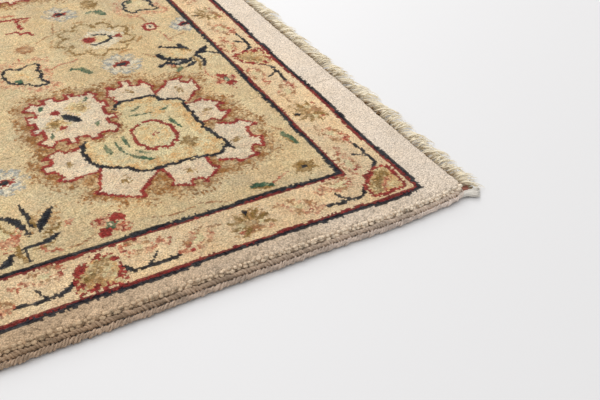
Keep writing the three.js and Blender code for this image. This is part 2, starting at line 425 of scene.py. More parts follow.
def acanthus(pen):
    """A spray of three navy leaves on a curved base, with olive leaves under it."""
    pen.spot(-24, 6, 11, "pink", 1.2, ragged=7)
    pen.spot(16, 24, 14, "gold", 1.0, ragged=9)
    pen.spot(18, 4, 8, "olive", 0.6, ragged=6)
    pen.spot(-30, 16, 9, "pale", 1.2, ragged=5)
    pen.leaf((-7, 9), (-29, 48), 10.5, "navy", bend=-5)
    pen.leaf((0, 11), (-4, 58), 6.4, "navy", bend=-2)
    pen.leaf((5, 2), (28, 42), 10.5, "navy", bend=3)
    pen.leaf((-13, 10), (-29, 34), 4.2, "olive", bend=5)
    pen.leaf((4, 14), (6, 38), 3.6, "olive", bend=2)
    pen.leaf((12, 4), (29, 11), 5.4, "olive", bend=-4)
    pen.spot(-5, 6, 3.6, "navy", ragged=1.4)
    pen.leaf((-16, -10), (27, -1), 8, "navy", bend=-7)
    pen.leaf((-12, -16), (20, -12), 3.6, "olive", bend=-6)
    pen.line([(-18, -6), (-20, -14), (-16, -32)], 4.6, "olive", ragged=1)
    pen.line([(-13, -14), (-11, -32)], 4.2, "navy", ragged=0.6)
    pen.leaf((-23, -14), (-46, -34), 9, "navy", bend=4)
    pen.line([(2, -18), (8, -27), (22, -30)], 3.4, "pink", ragged=1.6)
    pen.spot(-30, 2, 5, "pink", ragged=3)
    pen.spot(36, 8, 5, "pink", ragged=3)


def bowed_acanthus(pen):
    """The same spray seen from its side: two bowed leaves, a straight one over them and a curling stalk."""
    pen.spot(-8, 18, 14, "peach", 0.9, ragged=7)
    pen.spot(-26, -8, 8, "pink", 0.8, ragged=5)
    upper = [(-35, 27), (-33, 14), (-22, 3), (-8, -4)]
    lower = [(-45, -7), (-34, -1), (-22, -9), (-6, -9), (4, -3)]
    pen.line(np.array(upper) + (4, 3), 5, "pale", ragged=2)
    pen.line(upper, 10, "navy", ragged=2.4)
    pen.line(lower, 7.4, "navy", ragged=2.4)
    pen.spot(-17, -5, 4.6, "bluegrey", 0.5, ragged=2.4)
    pen.line([(-30, -16), (-18, -24), (-6, -21), (6, -12)], 4.4, "olive", ragged=1.6)
    pen.leaf((-30, -33), (-18, -19), 9, "green")
    pen.leaf((-14, -24), (6, -10), 8, "navy", bend=-3)
    pen.line([(-25, 49), (-12, 42), (5, 33)], 6.6, "navy", ragged=1.4)
    pen.leaf((12, 26), (2, 52), 11, "navy", bend=3)
    pen.line([(0, 30), (10, 24), (11, 20)], 4, "olive", ragged=1)
    pen.leaf((12, 8), (42, 29), 11, "navy", bend=-2)
    pen.line([(12, 6), (24, 10), (34, 8), (42, 0)], 5, "navy", ragged=1.6)
    pen.line([(14, 4), (18, -10), (12, -28)], 6.4, "navy", ragged=1.4)
    pen.line([(9, 0), (9, -18), (3, -38)], 4.6, "olive", ragged=1)
    pen.spot(34, -12, 7, "peach", ragged=4)


def sprig(pen):
    """Two green leaves on a short stalk."""
    pen.line([(-17, 3), (-12, 7), (-6, 3), (1, 4)], 6.4, "green", ragged=2)
    pen.leaf((-2, 6), (10, -17), 12, "green", bend=-2)


def long_leaf(pen):
    """A single narrow leaf, half green and half olive."""
    pen.leaf((0, -17), (0, 17), 12, "green")
    pen.leaf((-3, -12), (-4, 12), 4, "olive")


TULIP = [
    (-27, 16), (-18, 31), (-3, 24), (12, 31), (24, 30), (16, 12),
    (22, 2), (15, -10), (24, -30), (6, -29), (-8, -16), (-20, -12),
]


def tulip(pen):
    """A stepped navy outline in a pink halo, with a gold heart and a green leaf."""
    outline = serrated(TULIP[::-1], 9, 2.4)
    pen.line(outline * 1.42, 8, "blush", closed=True, ragged=6)
    pen.fill(outline, "field")
    pen.line(outline, 4.4, "navy", closed=True, ragged=0.6)
    pen.line([(-8, 14), (4, 6), (2, -12)], 6, "peach", ragged=3)
    pen.leaf((-16, -6), (-6, -14), 9, "green")


def small_flower(pen):
    """Four round petals, two red and two pink, round a green eye."""
    for turn, dye in [(45, "red"), (135, "pink"), (225, "red"), (315, "pink")]:
        pen.at(0, 0, turn).spot(13, 0, 8.6, dye, 0.9, ragged=3)
        pen.at(0, 0, turn).spot(15, 0, 4, "red", 0.9, ragged=3)
    pen.spot(0, 0, 6, "green", ragged=2)
    pen.spot(0, 0, 2, "cream")


def star_flower(pen):
    """An olive flower of six pointed petals."""
    outline = serrated(ellipse(10, 10, steps=6), 12, 9)
    pen.fill(outline, "olive", ragged=2)
    pen.spot(0, 0, 3.4, "navy")


def ring_bud(pen):
    """A red ring with a dark dot, on a thin stalk."""
    pen.line([(3, -12), (10, -36), (12, -60)], 2.6, "pink")
    pen.fill(square_blossom(11, 12, 4, 0.1), "cream")
    pen.line(square_blossom(10, 11, 4, 0.1), 5.5, "red", closed=True, ragged=1)
    pen.spot(0, 0, 2.6, "navy")


def tee(pen):
    """A red calyx drawn as a T with a spur."""
    pen.line([(-22, 4), (20, 2)], 7, "red", ragged=2)
    pen.line([(2, 2), (4, -34)], 6, "red", ragged=2)
    pen.line([(-14, 20), (2, 18)], 6, "pink", ragged=2)
    pen.spot(14, -8, 5, "pink", ragged=2)


def zigzag(pen):
    """A short red zigzag."""
    pen.line([(-18, -5), (-9, 5), (0, -4), (9, 5), (17, -3)], 5.5, "red", ragged=1)


def bud(pen):
    pen.spot(0, 0, 12, "olive", 1.5, ragged=3)


def berry(pen):
    pen.spot(0, 0, 14, "brown", ragged=3)


def lotus_lobes(pen):
    """The lotus's eight lobes, the slanting ones wider and further out: a pen for each, and its outline."""
    lobes = []
    for turn in range(0, 360, 45):
        root, width = (92, 62) if turn % 90 else (84, 54)
        along = math.radians(turn)
        lobes.append((pen.at(root * math.cos(along), root * math.sin(along), turn), lobe(44, width, 3)))
    return lobes


def lotus(pen):
    """The largest flower, the same on both sides: a blossom in a peach and navy frame with eight lobes."""
    outer = square_blossom(86, 92, 8, 0.16)
    lobes = lotus_lobes(pen)
    pen.line(outer, 104, "gold", closed=True, ragged=9)
    for part, outline in lobes:
        part.line(outline, 30, "gold", ragged=8)
    for part, outline in lobes:
        part.fill(np.concatenate([outline, [(-14, 0)]]), "cream")
        part.line(outline, 5, "red")
        part.ring(20, 0, 4, 3, "olive")
    pen.fill(outer, "peach")
    pen.line(outer, 5.4, "navy", closed=True)
    pen.fill(square_blossom(66, 72, 8, 0.12), "pale")
    for turn in range(20, 380, 40):
        pen.at(0, 0, turn).leaf((54, -12), (54, 12), 6, "green", bend=-3)
    blossom(pen, 40, 42)


def tendril(pen, points, dye):
    """A thin winding stalk through the points."""
    path = np.asarray(points, float)
    shares = np.linspace(0, len(path) - 1, 8 * len(path))
    stalk = np.stack([np.interp(shares, range(len(path)), path[:, k]) for k in (0, 1)], axis=-1)
    stalk[:, 1] += 3 * np.sin(stalk[:, 0] / 9)
    pen.line(stalk, 2.6, dye)


# The field's motifs in the order they are drawn, and where each lies: u, the distance in from the right-hand
# guard, and v, from the front one. Turn, size and mirrored follow where they aren't 0, 1 and False
FIELD_MOTIFS = [
    (palmette, [(235, 250), (235, 820, 180, 1, True), (618, 262, 180, 1, True), (618, 808)]),
    (lotus, [(868.5, 546)]),
    (leaf_wreath, [(217, 522), (560, 535, 180, 1.1), (868.5, 210, 90, 0.9), (868.5, 882, 270, 0.9)]),
    (rosette, [
        (76, 514, 0, 0.95), (208, 428, 0, 1.12), (244, 627, 0, 1.05), (416, 215), (416, 850),
        (420, 535, 0, 1.2), (640, 430), (640, 640), (800, 330, 0, 1.1), (800, 740, 0, 1.1),
    ]),
    (bowed_acanthus, [(115, 405), (470, 400, -40, 1.1)]),
    (acanthus, [(407, 110), (407, 950, 180, 1, True), (480, 672, 230, 1.1, True)]),
    (tulip, [(337, 445), (118, 618, 180, 1, True), (412, 628, 180), (640, 535, 90)]),
    (sprig, [(263, 435), (186, 612), (440, 300, 60), (440, 770, 120, 1, True), (540, 110, 200), (540, 960)]),
    (long_leaf, [
        (85, 157, 14), (160, 82, 75), (85, 905, -14), (300, 985, 80), (640, 88, 80), (500, 985, 85),
    ]),
    (small_flower, [
        (332, 93), (92, 325, 60, 0.85), (92, 800), (480, 90, 90), (600, 975), (800, 120), (800, 950, 90),
        (480, 480),
    ]),
    (star_flower, [(96, 96), (96, 975), (450, 600)]),
    (ring_bud, [(130, 528), (560, 440, -60), (560, 640, 240)]),
    (tee, [(312, 632)]),
    (zigzag, [(312, 582, -30), (420, 690, 60), (820, 250), (820, 830)]),
    (bud, [(190, 648), (470, 540, 90)]),
    (berry, [(320, 526), (650, 500), (400, 400)]),
]

# Thin stalks between the motifs, through points of u and v
TENDRILS = [
    [(160, 82), (118, 92)], [(290, 80), (250, 84), (200, 78)], [(85, 178), (100, 200)],
    [(90, 300), (110, 350), (104, 372)], [(380, 80), (350, 84)], [(119, 471), (90, 490)],
    [(336, 500), (330, 470)], [(300, 540), (270, 560), (262, 600)], [(150, 590), (130, 560), (130, 545)],
    [(260, 470), (300, 450)], [(170, 440), (150, 425)], [(420, 240), (430, 300), (470, 360)],
    [(400, 520), (360, 480)], [(440, 540), (500, 545)], [(620, 540), (690, 530)], [(640, 455), (600, 500)],
    [(640, 615), (600, 575)], [(416, 830), (430, 770), (470, 710)], [(700, 140), (640, 100)],
    [(700, 930), (640, 975)], [(800, 300), (850, 250)], [(800, 770), (850, 820)], [(110, 640), (112, 700)],
]


def in_field(u, v):
    """The place on the chart at distances u and v in from the guards."""
    return GUARD_X - u, v - GUARD_Y


def draw_field(chart):
    for motif, places in FIELD_MOTIFS:
        for u, v, *pose in places:
            motif(Pen(chart, *in_field(u, v), *pose))


def draw_tendrils(chart):
    pen = Pen(chart)
    for number, path in enumerate(TENDRILS):
        tendril(pen, [in_field(u, v) for u, v in path], "brown" if number % 3 else "pink")


# Motifs of the border, drawn outwards along x from a flower or rosette, with the field on the +y side

def border_flower(pen):
    """A bud standing up, in a red edge that is broken and blotted."""
    outline = serrated([(-21, 10), (22, 9), (21, 30), (17, 50), (4, 51), (-14, 42), (-22, 28)], 8, 2.4)
    pen.fill(outline, "peach", ragged=2)
    pen.line([(-14, 19), (-2, 28), (8, 44)], 15, "gold", ragged=6)
    pen.line([(-14, 24), (0, 34), (10, 46)], 7, "olive", ragged=4)
    pen.line([(-2, 14), (10, 24)], 7, "gold", ragged=4)
    pen.line(outline[5:], 3.4, "red", ragged=2.4)
    pen.line(outline[:4], 3.2, "red", ragged=2.8)
    for x, y, radius in [(-15, 40, 4.8), (19, 18, 4.6), (18, 44, 3.8), (-18, 20, 3.8), (-6, 11, 3.2)]:
        pen.spot(x, y, radius, "red", ragged=1.8)


def corner_flower(pen):
    outline = serrated([(-21, 12), (21, 12), (21, 55), (4, 55), (-10, 40), (-21, 30)], 8, 2.6)
    pen.fill(outline, "peach")
    pen.line([(-10, 22), (2, 34), (10, 46)], 13, "olive", ragged=5)
    pen.line([(-4, 20), (10, 34)], 5, "pink", ragged=3)
    pen.line(outline, 4.6, "red", closed=True, ragged=1.4)
    pen.spot(-9, 46, 5.5, "red")


def border_rosette(pen):
    """A fan of olive and brown leaves with a small navy tip."""
    pen.spot(0, 33, 17, "gold", 0.85, ragged=12)
    for turn in range(-20, 220, 34):
        pen.at(0, 29, turn).leaf((5, 0), (27, 2), 5.4, "olive", bend=2)
        pen.at(0, 29, turn + 17).leaf((10, 0), (22, -2), 3.6, "olive", bend=-2)
    for turn in (235, 270, 305):
        pen.at(0, 28, turn).leaf((2, 0), (16, 0), 5, "brown", bend=2)
    pen.spot(-12, 28, 4, "pale", ragged=2)
    pen.spot(11, 28, 4, "pale", ragged=2)
    pen.leaf((0, 43), (0, 54), 5, "navy")
    pen.spot(-16, 18, 3.6, "pink", ragged=1)
    pen.spot(18, 17, 3.6, "pink", ragged=1)


def vine_flower(pen, length):
    """A small long flower of the vine: rose petals round a pale green middle."""
    for along, out, dye in [(-0.9, 2, "pink"), (-0.5, 8, "brown"), (0, 9, "blush"), (0.5, 8, "brown"),
                            (0.9, 1, "blush"), (0.5, -8, "blush"), (0, -9, "brown"), (-0.5, -8, "pink")]:
        pen.spot(along * length, out, 4.6, dye, 0.8, ragged=3)
    pen.spot(0, 0, length * 0.52, "ground", 0.5, ragged=3)
    pen.spot(0, 0, length * 0.40, "pale", 0.55, ragged=2)
    pen.spot(-length * 0.8, -4, 2.6, "red", ragged=1)


def border_vine(pen):
    """The half of the vine between a flower and the next rosette."""
    pen.line([(22, 31), (27, 25), (33, 18), (48, 17), (62, 17), (81, 19)], 4.8, "navy", ragged=0.8)
    pen.line([(48, 17), (55, 24), (60, 33)], 4.0, "navy", ragged=0.8)
    vine_flower(pen.at(46, 48, -12), 18)
    pen.line([(64, 42), (68, 52), (74, 40), (80, 46)], 3.6, "pink", ragged=2)
    vine_flower(pen.at(108, 31, 28), 20)
    pen.line([(82, 22), (90, 18), (96, 14)], 4.4, "pink", ragged=2)
    pen.line([(84, 28), (92, 34)], 3.4, "brown", ragged=2)
    pen.line([(126, 44), (136, 42)], 3, "brown", ragged=1.4)


def draw_border_run(chart, x, y, turn, length, pitches):
    """One side of the border: vines between its flowers and rosettes, a little closer in its first half."""
    half_way = BORDER_MARGIN + BORDER_PITCH * pitches / 2
    known = (BORDER_MARGIN, half_way, length - BORDER_MARGIN)
    places = np.interp(range(pitches + 1), (0, pitches / 2, pitches), known)
    side = Pen(chart, x, y, turn)
    for number, place in enumerate(places):
        pen = side.at(place, 0)
        if number % 2:
            border_rosette(pen)
            continue
        if number < pitches:
            border_vine(pen)
        if number > 0:
            border_vine(pen.at(0, 0, mirrored=True))
        if 0 < number < pitches:
            border_flower(pen)


def draw_stripes(chart):
    """The plain band round the edge, and the border's stripes inside it."""
    from_end = (HALF_LENGTH - np.abs(chart.stripe_x)) / KNOT - PLAIN_AT_ENDS
    from_side = (HALF_WIDTH - np.abs(chart.stripe_y)) / KNOT - PLAIN_AT_SIDES
    depth = np.minimum(from_end, from_side) + STRIPE_RAGGED * chart.grain
    chart.dye[depth <= 0] = DYE_NUMBER["plain"]
    start = 0
    for dye, knots in STRIPES:
        chart.dye[(depth > start) & (depth <= start + knots)] = DYE_NUMBER[dye]
        start += knots


def draw_border(chart):
    """The vines along the front, the right-hand end and the back, and the flowers at their corners."""
    draw_border_run(chart, -GUARD_X, -GUARD_Y, 0, 2 * GUARD_X, PITCHES_ALONG)
    draw_border_run(chart, GUARD_X, -GUARD_Y, 90, 2 * GUARD_Y, PITCHES_ACROSS)
    draw_border_run(chart, GUARD_X, GUARD_Y, 180, 2 * GUARD_X, PITCHES_ALONG)
    for y, turn in [(-GUARD_Y, 0), (GUARD_Y, 90)]:
        corner_flower(Pen(chart, GUARD_X, y, turn).at(-BORDER_MARGIN, 0))


def drawn_chart():
    chart = Chart()
    draw_tendrils(chart)
    draw_field(chart)
    draw_stripes(chart)
    draw_border(chart)
    # The left half is the right half turned half round
    chart.dye[:, : COLUMNS // 2] = chart.dye[::-1, ::-1][:, : COLUMNS // 2]
    return chart


# Where the rug's hand-made edges run, as in its solids but for the corners, which the overcasting draws in
DRAWN_IN = 7.0
DRAWN_OVER = 115                      # how far from the corners that starts
# The waves of an edge: how far each goes, how long it is for each radian, and where it starts
SIDE_WAVES = [(1.0, 173, 0.4), (0.6, 67, 2.1)]
END_WAVES = [(0.9, 141, 1.3), (0.5, 59, 0.2)]


def wavy(places, waves):
    return sum(size * np.sin(places / length + start) for size, length, start in waves)


def side_wander(x):
    near_corner = ((np.abs(x) - HALF_LENGTH + DRAWN_OVER) / DRAWN_OVER).clip(0, 1)
    return wavy(x, SIDE_WAVES) - DRAWN_IN * near_corner**2


def end_wander(y):
    return wavy(y, END_WAVES)


def front_edge(x):
    return -HALF_WIDTH - side_wander(x)


def right_end(y):
    return HALF_LENGTH + end_wander(y)


def wandered(x, y):
    """Moves points of the straight-edged rug to where the wandering edges put them."""
    right = np.maximum(0, x / HALF_LENGTH) ** 2
    left = np.maximum(0, -x / HALF_LENGTH) ** 2
    back = np.maximum(0, y / HALF_WIDTH) ** 2
    front = np.maximum(0, -y / HALF_WIDTH) ** 2
    return (
        x + right * end_wander(y) - left * end_wander(-y),
        y + back * side_wander(-x) - front * side_wander(x),
    )


def rounded_corner(x, y):
    """Turns the square corners of the plan into quarter circles, and gives the depth inside the edge."""
    left = (np.abs(x) - HALF_LENGTH + EDGE_BAND) / EDGE_BAND
    up = (np.abs(y) - HALF_WIDTH + EDGE_BAND) / EDGE_BAND
    corner = (left > 0) & (up > 0)
    p = left * np.sqrt(np.maximum(0, 1 - up * up / 2))
    q = up * np.sqrt(np.maximum(0, 1 - left * left / 2))
    depth = EDGE_BAND * (1 - np.where(corner, np.hypot(p, q), np.maximum(left, up)))
    turned_x = np.sign(x) * (HALF_LENGTH - EDGE_BAND * (1 - p))
    turned_y = np.sign(y) * (HALF_WIDTH - EDGE_BAND * (1 - q))
    return np.where(corner, turned_x, x), np.where(corner, turned_y, y), depth


SHOULDER = 6.5                        # how far in the pile is at its full height
UNEVEN = 0.35                         # how far the pile's top swells and sinks


def pile_height(x, y, depth):
    uneven = UNEVEN * np.sin(x / 97 + y / 130) * np.sin(x / 61 - y / 83 + 1)
    roll = np.clip(depth / SHOULDER, 0, 1)
    shoulder = np.sqrt(1 - (1 - roll) ** 2)
    return RIM_HEIGHT + (PILE_THICKNESS - RIM_HEIGHT) * shoulder + uneven * roll


# Notches between the coarse tufts, where the pile meets the overcasting: dips darkened with painted shade
NOTCH_APART = (7.0, 14.0)
NOTCH_WIDE = 1.5
NOTCH_OUT = 0.6                       # how far out from the edge their middles lie
NOTCH_FADE = 1.9                      # over what way in or out they fade
NOTCH_DRAW = np.random.default_rng(SEED + 40)
NOTCHES = np.cumsum(NOTCH_DRAW.uniform(*NOTCH_APART, int(2 * HALF_LENGTH / NOTCH_APART[0]))) - HALF_LENGTH
NOTCH_STRENGTHS = NOTCH_DRAW.uniform(0.3, 1.0, len(NOTCHES))


def notch(x, inward):
    """How much of a notch there is, from 0 to 1; x along the front edge and the way in from it."""
    after = np.searchsorted(NOTCHES, x).clip(1, len(NOTCHES) - 1)
    nearest = after - (x - NOTCHES[after - 1] < NOTCHES[after] - x)
    away = (x - NOTCHES[nearest]) / NOTCH_WIDE
    fade = np.clip(1.4 - np.abs(inward + NOTCH_OUT) / NOTCH_FADE, 0, 1)
    return NOTCH_STRENGTHS[nearest] * np.exp(-(away**2)) * fade


def near(away, reach, steepness=1.0):
    """From 1 at an edge to 0 at `reach` away from it, where the steepness is 1."""
    return np.clip(steepness * (1 - away / reach), 0, 1)


# Meshes from arrays of points

def placed(name, data):
    """An object in the scene."""
    piece = bpy.data.objects.new(name, data)
    bpy.context.scene.collection.objects.link(piece)
    return piece


def flat(blocks):
    """All numbers of some arrays, one array after the other."""
    return np.concatenate([np.ravel(block) for block in blocks])


def new_mesh(name, points, faces, material):
    """A smooth mesh from points in millimetres and arrays of faces, all of one size within an array."""
    corners = flat(faces)
    sizes = np.concatenate([np.full(len(block), np.shape(block)[1]) for block in faces])
    mesh = bpy.data.meshes.new(name)
    mesh.vertices.add(len(points))
    mesh.vertices.foreach_set("co", (np.asarray(points) * MM).astype(np.float32).ravel())
    mesh.loops.add(len(corners))
    mesh.loops.foreach_set("vertex_index", corners.astype(np.int32))
    mesh.polygons.add(len(sizes))
    mesh.polygons.foreach_set("loop_start", np.concatenate([[0], np.cumsum(sizes)[:-1]]).astype(np.int32))
    mesh.update(calc_edges=True)
    mesh.shade_smooth()
    mesh.materials.append(material)
    return placed(name, mesh)


def corner_colours(piece, colours):
    """Stores a colour for each corner of each face, as the attribute that the wool's material reads."""
    attribute = piece.data.color_attributes.new("dye", "FLOAT_COLOR", "CORNER")
    opaque = np.concatenate([colours, np.ones((len(colours), 1))], axis=1)
    attribute.data.foreach_set("color", opaque.astype(np.float32).ravel())


def vertex_colours(piece, colours):
    """Colours the corners of all faces by the points they lie at."""
    corner = np.empty(len(piece.data.loops), np.int32)
    piece.data.loops.foreach_get("vertex_index", corner)
    corner_colours(piece, colours[corner])


def points_of(piece):
    """A mesh's points in millimetres, as three arrays."""
    place = np.empty(len(piece.data.vertices) * 3, np.float32)
    piece.data.vertices.foreach_get("co", place)
    return place.reshape(-1, 3).T / MM


def lofted(rings):
    """Points and faces of a closed solid through rings of equal size, anticlockwise seen from the far end."""
    count, size = len(rings), len(rings[0])
    step = np.arange(count - 1)[:, None] * size
    ring = np.arange(size)
    following = (ring + 1) % size
    sides = np.stack(
        [step + ring, step + following, step + following + size, step + ring + size], axis=-1
    ).reshape(-1, 4)
    last = (count - 1) * size
    return np.concatenate(rings), [sides, [ring[::-1]], [last + ring]]


# Node trees

class Graph:
    """Adds nodes to a tree, with their inputs set or linked in one call."""

    def __init__(self, tree):
        self.tree = tree

    def add(self, kind, inputs=None, **settings):
        node = self.tree.nodes.new(kind)
        for name, value in settings.items():
            setattr(node, name, value)
        for name, value in (inputs or {}).items():
            if isinstance(value, bpy.types.NodeSocket):
                self.tree.links.new(value, node.inputs[name])
            else:
                node.inputs[name].default_value = value
        return node

    def get(self, kind, inputs=None, **settings):
        """The first output of a new node."""
        return self.add(kind, inputs, **settings).outputs[0]

    def shape(self, kind, inputs, **settings):
        """The first output of a new node for geometry."""
        return self.get("GeometryNode" + kind, inputs, **settings)

    def maths(self, operation, first, second=0.0, third=0.0):
        return self.get("ShaderNodeMath", {0: first, 1: second, 2: third}, operation=operation)

    def plus(self, first, second):
        return self.maths("ADD", first, second)

    def minus(self, first, second):
        return self.maths("SUBTRACT", first, second)

    def times(self, first, second):
        return self.maths("MULTIPLY", first, second)

    def times_plus(self, value, factor, added):
        return self.maths("MULTIPLY_ADD", value, factor, added)

    def between(self, value, low, high):
        """A value from 0 to 1 taken to the range from low to high."""
        return self.times_plus(value, high - low, low)

    def scaled(self, vector, factor):
        return self.get("ShaderNodeVectorMath", {0: vector, "Scale": factor}, operation="SCALE")

    def parts(self, vector):
        """A vector's X, Y and Z."""
        return self.add("ShaderNodeSeparateXYZ", {"Vector": vector}).outputs

    def chance(self, low, high, seed):
        """A number drawn for each point, from low to high."""
        inputs = {2: low, 3: high, "Seed": seed}
        return self.add("FunctionNodeRandomValue", inputs, data_type="FLOAT").outputs[1]

    def vector_chance(self, low, high, seed):
        inputs = {0: low, 1: high, "Seed": seed}
        return self.get("FunctionNodeRandomValue", inputs, data_type="FLOAT_VECTOR")


TUFT_TIP = 1.22                       # painted light and shade: how light the middle of a tuft is, and how dark the dip beside it
TUFT_ROOT = 0.70
TUFT_SPAN = (0.2, 0.85)               # from where to where that changes, as shares of a tuft's width
TUFT_TONE = 0.12                      # how much lighter or darker one tuft is than the next
TUFT_RELIEF = 2.4                     # how deep the dips are, next to the relief of the fibres
CLUMP = 7                             # how many fibres wide a clump of them is
CLUMP_TONE = 0.08                     # how much lighter or darker a clump is
CLUMP_RELIEF = 1.5                    # how high it stands, next to a fibre
SOFT_GLOSS = 0.15
SHEEN_ROUGHNESS = 0.5


def tufts_of(graph, place, width, shade, height):
    """Painted shade and height over a cut pile, whose tufts are painted pale at their tips and dark where
    they meet.
    """
    cells = graph.add("ShaderNodeTexVoronoi", {"Vector": place, "Scale": METRE / width}).outputs
    start, end = TUFT_SPAN
    dip = graph.get("ShaderNodeMapRange", {
        "Value": cells["Distance"], "From Min": start, "From Max": end,
        "To Min": TUFT_TIP, "To Max": TUFT_ROOT,
    })
    luck = graph.get("ShaderNodeSeparateColor", {"Color": cells["Color"]})
    own = graph.between(luck, 1 - TUFT_TONE, 1 + TUFT_TONE)
    shade = graph.times(shade, graph.times(dip, own))
    return shade, graph.times_plus(cells["Distance"], -TUFT_RELIEF, height)


def wool_material(name, colour, roughness, sheen, fibre, relief, flecks, tuft=None):
    """Wool or cotton: a dye, or the attribute where colour is None, with fibres in it and a soft sheen.

    The widths of a fibre and of a tuft, and the relief, are in millimetres.
    """
    material = bpy.data.materials.new(name)
    material.use_nodes = True
    graph = Graph(material.node_tree)
    graph.tree.nodes.clear()
    place = graph.add("ShaderNodeTexCoord").outputs["Object"]
    fine, broad = (
        graph.get("ShaderNodeTexNoise", {"Vector": place, "Scale": METRE / width, "Detail": detail})
        for width, detail in [(fibre, 3.0), (fibre * CLUMP, 2.0)]
    )
    flecked = graph.between(fine, 1 - 2 * flecks, 1 + 2 * flecks)
    shade = graph.times(flecked, graph.between(broad, 1 - CLUMP_TONE, 1 + CLUMP_TONE))
    height = graph.plus(fine, graph.times(broad, CLUMP_RELIEF))
    if tuft is not None:
        shade, height = tufts_of(graph, place, tuft, shade, height)
    if colour is None:
        base = graph.add("ShaderNodeAttribute", attribute_name="dye").outputs["Color"]
    else:
        base = graph.get("ShaderNodeRGB")
        base.default_value = (*linear(colour), 1)
    bump = graph.get("ShaderNodeBump", {"Height": height, "Strength": 1.0, "Distance": relief * MM})
    finish = graph.get("ShaderNodeBsdfPrincipled", {
        "Base Color": graph.scaled(base, shade),
        "Roughness": roughness,
        "Specular IOR Level": SOFT_GLOSS,
        "Sheen Weight": sheen,
        "Sheen Roughness": SHEEN_ROUGHNESS,
        "Normal": bump,
    })
    graph.add("ShaderNodeOutputMaterial", {"Surface": finish})
    return material


# Each finish's colour, roughness, sheen, width of a fibre, relief and strength of its flecks
PILE_WOOL = wool_material("pile_wool", None, 1.0, 0.06, 1.1, 0.55, 0.24, tuft=1.9)
EDGE_WOOL = wool_material("edge_wool", None, 1.0, 0.12, 1.4, 0.90, 0.40)
CORD_WOOL = wool_material("cord_wool", None, 1.0, 0.14, 0.8, 0.45, 0.28)
COTTON = wool_material("fringe_cotton", None, 0.9, 0.15, 0.8, 0.2, 0.06)
# The strip's dark brown is painted shade, seen between the fringe's bunches
STRIP_SHADED_COTTON = wool_material("strip_cotton", (122, 94, 60), 1.0, 0.1, 1.2, 1.1, 0.34)
TAB_YARN = wool_material("tab_yarn", None, 0.95, 0.2, 0.9, 0.3, 0.10)
BACK_WOOL = wool_material("back_wool", None, 1.0, 0.05, 2.0, 0.4, 0.12)


# The pile's surface, with one point for each corner of a knot

PILE_POINTS_AWRY = 0.62               # how far a knot's corner strays in plan
PILE_TIPS_UNEVEN = 0.42               # and in height
CALM_ENDS = 0.55                      # what share of that the plain band at the ends has
END_RAGGED = 1.5                      # how far the pile's ends stray in lumps
END_LUMP = 5
END_REACH = 6                         # how far in from the ends they do
ROLLED_EDGE = 30                      # the width of the coarser pile along the sides
LUMP = 5.4                            # how wide its lumps are
CURLED_EDGE = 15                      # the width of the lumpiest stretch, next to the cords
CURLS = 0.9                           # how much higher its lumps stand
PIT_CHANCE = 0.08                     # how often a knot's corner there is a pit
PIT_DEPTH = 1.8
TIP_SHADE = 0.09                      # painted shade: how much lighter a high tip is than a low one
PIT_SHADE = 4                         # painted shade: how much darker a pit is, in the same steps
WALL_SHADE = 6.5                      # painted shade: how much darker the pile's upright edge is
EDGE_PAINTED_LIGHT = 4.6                       # painted light: how much lighter the rolled edge's tips are
EDGE_LIGHT_REACH = 9                       # and how far in from the side


def pile_surface():
    """The corners of all knots, with the rows of the upright edge round them, and each tip's painted light
    and shade.
    """
    i, j = np.meshgrid(np.arange(-SKIRT, COLUMNS + SKIRT + 1), np.arange(-SKIRT, ROWS + SKIRT + 1))
    x = np.clip(i, 0, COLUMNS) * KNOT - HALF_LENGTH
    y = np.clip(j, 0, ROWS) * KNOT - HALF_WIDTH
    x, y, depth = rounded_corner(x, y)
    x, y = wandered(x, y)
    z = pile_height(x, y, depth)
    down = np.maximum(np.maximum(-i, i - COLUMNS), np.maximum(-j, j - ROWS))
    draw = np.random.default_rng(SEED)
    tip = draw.uniform(-1, 1, z.shape)
    tip = np.where(np.abs(x) > HALF_LENGTH - KNOT * PLAIN_AT_ENDS, CALM_ENDS, 1.0) * tip
    from_side = HALF_WIDTH - np.abs(y)
    side_edge = near(from_side, ROLLED_EDGE)
    curled = near(from_side, CURLED_EDGE, 1.4)
    lumps = lattice_noise(x, y, LUMP, SEED + 5) * (1 + CURLS * curled)
    pit_chance = PIT_CHANCE * (1 + curled) * np.clip(2 * side_edge - 0.7, 0, 1)
    pits = (draw.uniform(0, 1, z.shape) < pit_chance) & (down < 0)
    pits = pits + notch(np.where(y < 0, x, -x), np.clip(from_side, 0, None))
    z = z + PILE_TIPS_UNEVEN * tip * (1 + 0.5 * side_edge)
    z = z + lumps * (0.1 + 0.7 * side_edge) - PIT_DEPTH * pits
    for level, height in enumerate(SKIRT_HEIGHTS, 1):
        z = np.where(down == level, height, z)
    awry = np.where(down > 0, 0.5, 1.0) * PILE_POINTS_AWRY
    ragged = END_RAGGED * lattice_noise(x, y, END_LUMP, SEED + 41) * near(HALF_LENGTH - np.abs(x), END_REACH)
    x = x + awry * draw.uniform(-1, 1, z.shape) + np.sign(x) * ragged
    y = y + awry * draw.uniform(-1, 1, z.shape)
    # Painted shade on the upright edge and in the pits and notches, painted light on the rolled edge's tips
    wall = WALL_SHADE * np.clip(0.5 * down + 0.5, 0, 1)
    edge_light = EDGE_PAINTED_LIGHT * near(HALF_WIDTH - np.abs(y), EDGE_LIGHT_REACH)
    light = tip + lumps * (0.25 + 0.75 * side_edge) - PIT_SHADE * pits - wall + edge_light
    return np.stack([x, y, z], axis=-1), light


# The knots' colours

